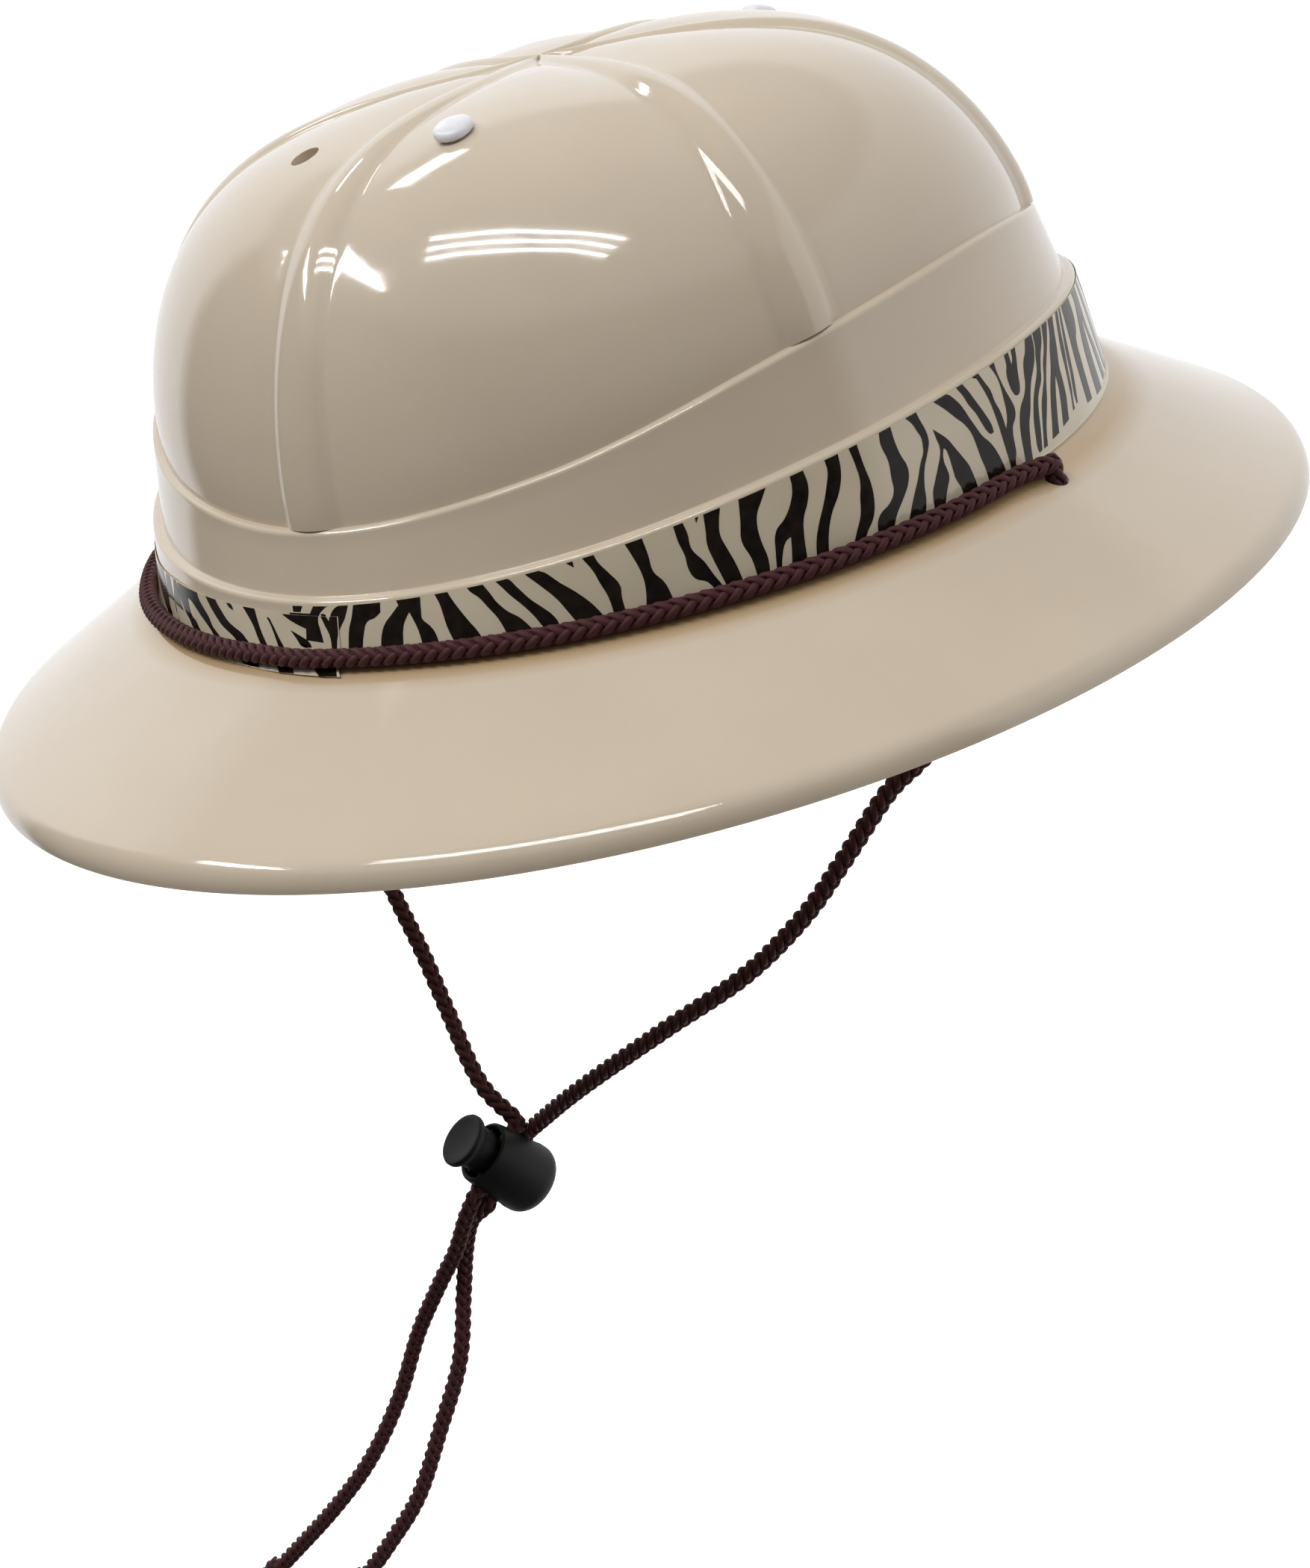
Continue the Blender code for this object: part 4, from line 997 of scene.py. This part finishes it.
# Natural polyethylene: bluish white and waxy, slightly see-through, with a soft gloss.
polyethylene, shader = new_finish("natural_polyethylene", Roughness=0.30, IOR=1.51, Subsurface_Weight=0.3,
                                  Subsurface_Radius=(0.002, 0.002, 0.0025), Subsurface_Scale=0.5)
place_map = add_node(polyethylene, "ShaderNodeTexCoord", {}).outputs["Object"]
cloud = add_node(polyethylene, "ShaderNodeTexNoise", {"Vector": place_map, "Scale": 500.0, "Detail": 2.0})
waxy = add_node(polyethylene, "ShaderNodeValToRGB", {"Fac": cloud.outputs["Fac"]},
                ((0.3, "#efeff6"), (0.7, "#f8f8fc")))
relief = add_node(polyethylene, "ShaderNodeBump",
                  {"Height": cloud.outputs["Fac"], "Strength": 0.25, "Distance": 0.0002})
set_inputs(polyethylene, shader, {"Base Color": waxy.outputs["Color"], "Normal": relief.outputs["Normal"]})

for name, where in SUSPENSION_HOLES.items():
    if name == OPEN_HOLE:
        continue
    point, normal = dome_place(*where)
    seat, inside = GAP, -WALL - GAP * 3
    head, flange, shank = RIVET_HEAD / 2, RIVET_FLANGE / 2, SUSPENSION_HOLE / 2 - GAP
    foot = inside - RIVET_FLANGE_THICKNESS
    profile = [(0, seat + RIVET_HEAD_HEIGHT)]
    profile += [(head * math.sin(math.radians(degrees)),
                 seat + RIVET_HEAD_HEIGHT * (0.25 + 0.75 * math.cos(math.radians(degrees)) ** 0.8))
                for degrees in range(8, 89, 8)]
    profile += [(head, seat + RIVET_HEAD_HEIGHT * 0.12), (head - RIVET_EDGE, seat), (shank, seat),
                (shank, inside), (flange - 0.0002, inside), (flange, inside - 0.0002),
                (flange, foot + RIVET_EDGE), (flange - RIVET_EDGE, foot), (0, foot)]
    bm = turned(profile, RIVET_SIDES)
    for vert in bm.verts:
        if vert.co.z > seat + 0.0001:
            around = math.atan2(vert.co.y, vert.co.x)
            reach = math.hypot(vert.co.x, vert.co.y) / head
            burr = RIVET_BURR * max(0.0, math.cos(around - RIVET_BURR_TURN)) ** 6 * reach
            vert.co += Vector((burr * math.cos(around), burr * math.sin(around),
                               RIVET_WARP * reach * math.sin(2 * around + 0.6)))
    turn = normal.to_track_quat("Z", "Y").to_matrix().to_4x4()
    bmesh.ops.transform(bm, matrix=Matrix.Translation(point) @ turn, verts=bm.verts)
    rivet = finished_piece("pressed_rivet_" + name, bm, polyethylene, "root", SHARP)
    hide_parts("rivet_" + name)


# Cord lock. A black nylon barrel, closed at one end, with a slot through both sides for the two cords, and
# a plunger on a spring inside it whose own slot pinches the cords against the barrel.
LANES_DEPTH = 0.0064
LOCK_TRAVEL = 0.0025
BARREL_WIDEST = 0.0166
BARREL_LENGTH = 0.0180
BARREL_BORE = 0.0124
BARREL_FLOOR = 0.0018
BARREL_EDGE = 0.0040
BARREL_LIP = 0.0006
BARREL_SLOT_START = 0.0019
BARREL_SLOT_END = 0.0128
SLOT_MARGIN = 0.0006
PLUNGER_CAP = 0.0128
PLUNGER_NECK = 0.0100
PLUNGER_OUT = 0.0067
BORE_DEPTH = BARREL_LENGTH - BARREL_FLOOR
PINCH_REACH = LANE + CORD / 2 + GAP
LOCK_SIDES = 64
# Depth below the mouth as a share of the barrel's length, and radius as a share of the widest.
BARREL_TABLE = ((0.0, 0.867), (0.02, 0.882), (0.06, 0.895), (0.18, 0.935), (0.35, 0.970), (0.48, 0.990),
                (0.60, 1.0))
# Radius as a share of the cap's, and depth below its outer face.
CAP_TABLE = ((0, 0.0006), (0.45, 0.0005), (0.75, 0.0002), (0.90, 0), (0.96, 0.0001), (1, 0.0005),
             (1, 0.0013), (0.97, 0.0017), (0.86, 0.0027))
# Radius as a share of the neck's, and depth below the cap's outer face.
NECK_TABLE = ((1.03, 0.0036), (1, 0.0042))


def lock_frame(depth):
    """Stands a piece on the lock's axis, its own Z towards the cap and its Y along the cords' way."""
    way = cord_way()
    turn = Matrix((way.cross(LOCK_AXIS), way, LOCK_AXIS)).transposed().to_4x4()
    return Matrix.Translation(LOCK_CENTRE + LOCK_AXIS * (LANES_DEPTH - depth)) @ turn


def slot_cutter(name, start, end):
    """A long hole with round ends, straight across the lock, between two depths below the mouth."""
    width, depth = CORD + 2 * SLOT_MARGIN, BARREL_WIDEST * 2
    block = bmesh.new()
    bmesh.ops.create_cube(block, size=1)
    bmesh.ops.scale(block, verts=block.verts, vec=(width, depth, end - start))
    across = [edge for edge in block.edges if abs(edge.verts[0].co.y - edge.verts[1].co.y) > depth / 2]
    bmesh.ops.bevel(block, geom=across, offset=width * 0.45, segments=10, profile=0.5, affect="EDGES",
                    material=-1)
    bmesh.ops.transform(block, matrix=lock_frame((start + end) / 2), verts=block.verts)
    return new_object(name, block)


# Moulded nylon: black with a fine spark-eroded grain of about 0.1 mm that leaves it almost matt.
nylon, shader = new_finish("moulded_nylon", Roughness=0.55, IOR=1.53, Specular_IOR_Level=0.3)
place_map = add_node(nylon, "ShaderNodeTexCoord", {}).outputs["Object"]
rubbed = add_node(nylon, "ShaderNodeTexNoise", {"Vector": place_map, "Scale": 300.0, "Detail": 3.0})
black = add_node(nylon, "ShaderNodeValToRGB", {"Fac": rubbed.outputs["Fac"]},
                 ((0.3, "#0c0c0c"), (0.75, "#151515")))
grain = add_node(nylon, "ShaderNodeTexNoise", {"Vector": place_map, "Scale": 5000.0, "Detail": 2.0})
relief = add_node(nylon, "ShaderNodeBump",
                  {"Height": grain.outputs["Fac"], "Strength": 0.3, "Distance": 0.0001})
set_inputs(nylon, shader, {"Base Color": black.outputs["Color"], "Normal": relief.outputs["Normal"]})

widest, bore = BARREL_WIDEST / 2, BARREL_BORE / 2
profile = [(0, -BORE_DEPTH), (bore, -BORE_DEPTH), (bore, -BARREL_LIP), (bore + 0.0002, -0.0002),
           (bore + BARREL_LIP, 0), (widest * BARREL_TABLE[0][1] - 0.0003, -0.0001)]
profile += [(widest * share, -BARREL_LENGTH * depth) for depth, share in BARREL_TABLE[1:]]
for degrees in range(0, 91, 9):
    turn = math.radians(degrees)
    profile.append((widest - BARREL_EDGE * (1 - math.cos(turn)),
                    BARREL_EDGE * (1 - math.sin(turn)) - BARREL_LENGTH))
profile.append((0, -BARREL_LENGTH))
bm = turned(profile, LOCK_SIDES)
bmesh.ops.transform(bm, matrix=lock_frame(0), verts=bm.verts)
barrel = finished_piece("lock_barrel", bm, nylon, "root")
cut_out(barrel, [slot_cutter("barrel_slot", BARREL_SLOT_START, BARREL_SLOT_END)], LOCK_SHARP)
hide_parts("toggle_barrel")

body, shoulder = BARREL_BORE / 2 - GAP, -BARREL_LIP - GAP
foot = LOCK_TRAVEL + GAP - BORE_DEPTH
profile = [(PLUNGER_CAP / 2 * share, PLUNGER_OUT - depth) for share, depth in CAP_TABLE]
profile += [(PLUNGER_NECK / 2 * share, PLUNGER_OUT - depth) for share, depth in NECK_TABLE]
profile += [(PLUNGER_NECK / 2, shoulder), (body, shoulder), (body, foot), (0, foot)]
bm = turned(profile, LOCK_SIDES)
bmesh.ops.transform(bm, matrix=lock_frame(0), verts=bm.verts)
plunger = finished_piece("lock_plunger", bm, nylon, "plunger")
pinch = slot_cutter("plunger_slot", LANES_DEPTH - PINCH_REACH - LOCK_TRAVEL, LANES_DEPTH + PINCH_REACH)
cut_out(plunger, [pinch], LOCK_SHARP)
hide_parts("toggle_plunger")


# Studio. A plain white floor under the hanging cord's ends, a soft surround, and long soft lights overhead
# whose reflections run across the crown, the lips of the bands and the rim.
FLOOR_HEIGHT = -0.275
FLOOR_REACH = 20
ROOM, BACKDROP, CEILING = 0.10, 1.0, 0.52
TUBE_WIDTH = 0.024
TUBE_RADIANCE = 34

bm = bmesh.new()
bmesh.ops.create_grid(bm, x_segments=1, y_segments=1, size=FLOOR_REACH)
bmesh.ops.translate(bm, verts=bm.verts, vec=(0, 0, FLOOR_HEIGHT))
white_floor, shader = new_finish("white_studio_floor", Roughness=0.9, Specular_IOR_Level=0.1,
                                 Base_Color=linear("#f4f4f4"), Emission_Color=linear("#ffffff"),
                                 Emission_Strength=0.8)
floor = new_object("floor", bm)
floor.data.materials.append(white_floor)
floor.visible_diffuse = False
floor.visible_glossy = False

# The surround is a white backdrop behind the helmet, up to about 40 degrees, a grey ceiling and a dim room
# in front. Straight in view it is white all round, as the photograph's cut-out ground is.
world = bpy.data.worlds.new("studio")
world.use_nodes = True
heading = add_node(world, "ShaderNodeTexCoord", {}).outputs["Generated"]
parts = add_node(world, "ShaderNodeSeparateXYZ", {"Vector": heading})
behind = add_node(world, "ShaderNodeMapRange", {
    "Value": parts.outputs["Y"], "From Min": -0.06, "From Max": 0.06, "To Min": ROOM, "To Max": BACKDROP})
above = add_node(world, "ShaderNodeMapRange", {
    "Value": parts.outputs["Z"], "From Min": 0.58, "From Max": 0.66})
surround = add_node(world, "ShaderNodeMix", {
    "Factor": above.outputs["Result"], "A": behind.outputs["Result"], "B": CEILING})
seen = add_node(world, "ShaderNodeLightPath", {}).outputs["Is Camera Ray"]
shown = add_node(world, "ShaderNodeMix",
                 {"Factor": seen, "A": surround.outputs["Result"], "B": BACKDROP})
set_inputs(world, world.node_tree.nodes["Background"],
           {"Color": (1, 1, 1, 1), "Strength": shown.outputs["Result"]})
bpy.context.scene.world = world


def studio_light(name, place, target, size, radiance):
    """A rectangular soft light that faces its target, its longer side level."""
    data = bpy.data.lights.new(name, "AREA")
    data.shape = "RECTANGLE"
    data.size, data.size_y = size
    data.energy = radiance * math.pi * size[0] * size[1]
    lamp = bpy.data.objects.new(name, data)
    bpy.context.scene.collection.objects.link(lamp)
    turn = (Vector(target) - Vector(place)).to_track_quat("-Z", "Y").to_matrix().to_4x4()
    lamp.matrix_world = Matrix.Translation(place) @ turn


for offset in (-0.09, 0.0, 0.09):
    studio_light(f"front_tube_{offset}", (0.02, -0.60 + offset, 1.25), (0.02, 0, 0), (1.1, TUBE_WIDTH),
                 TUBE_RADIANCE)
    studio_light(f"left_tube_{offset}", (-1.08, -0.62 + offset, 1.25), (-0.3, 0, 0), (0.6, TUBE_WIDTH),
                 TUBE_RADIANCE)
studio_light("brim_glint", (-0.84, 0.35, 1.10), (0, 0, 0), (0.30, 0.12), 7)
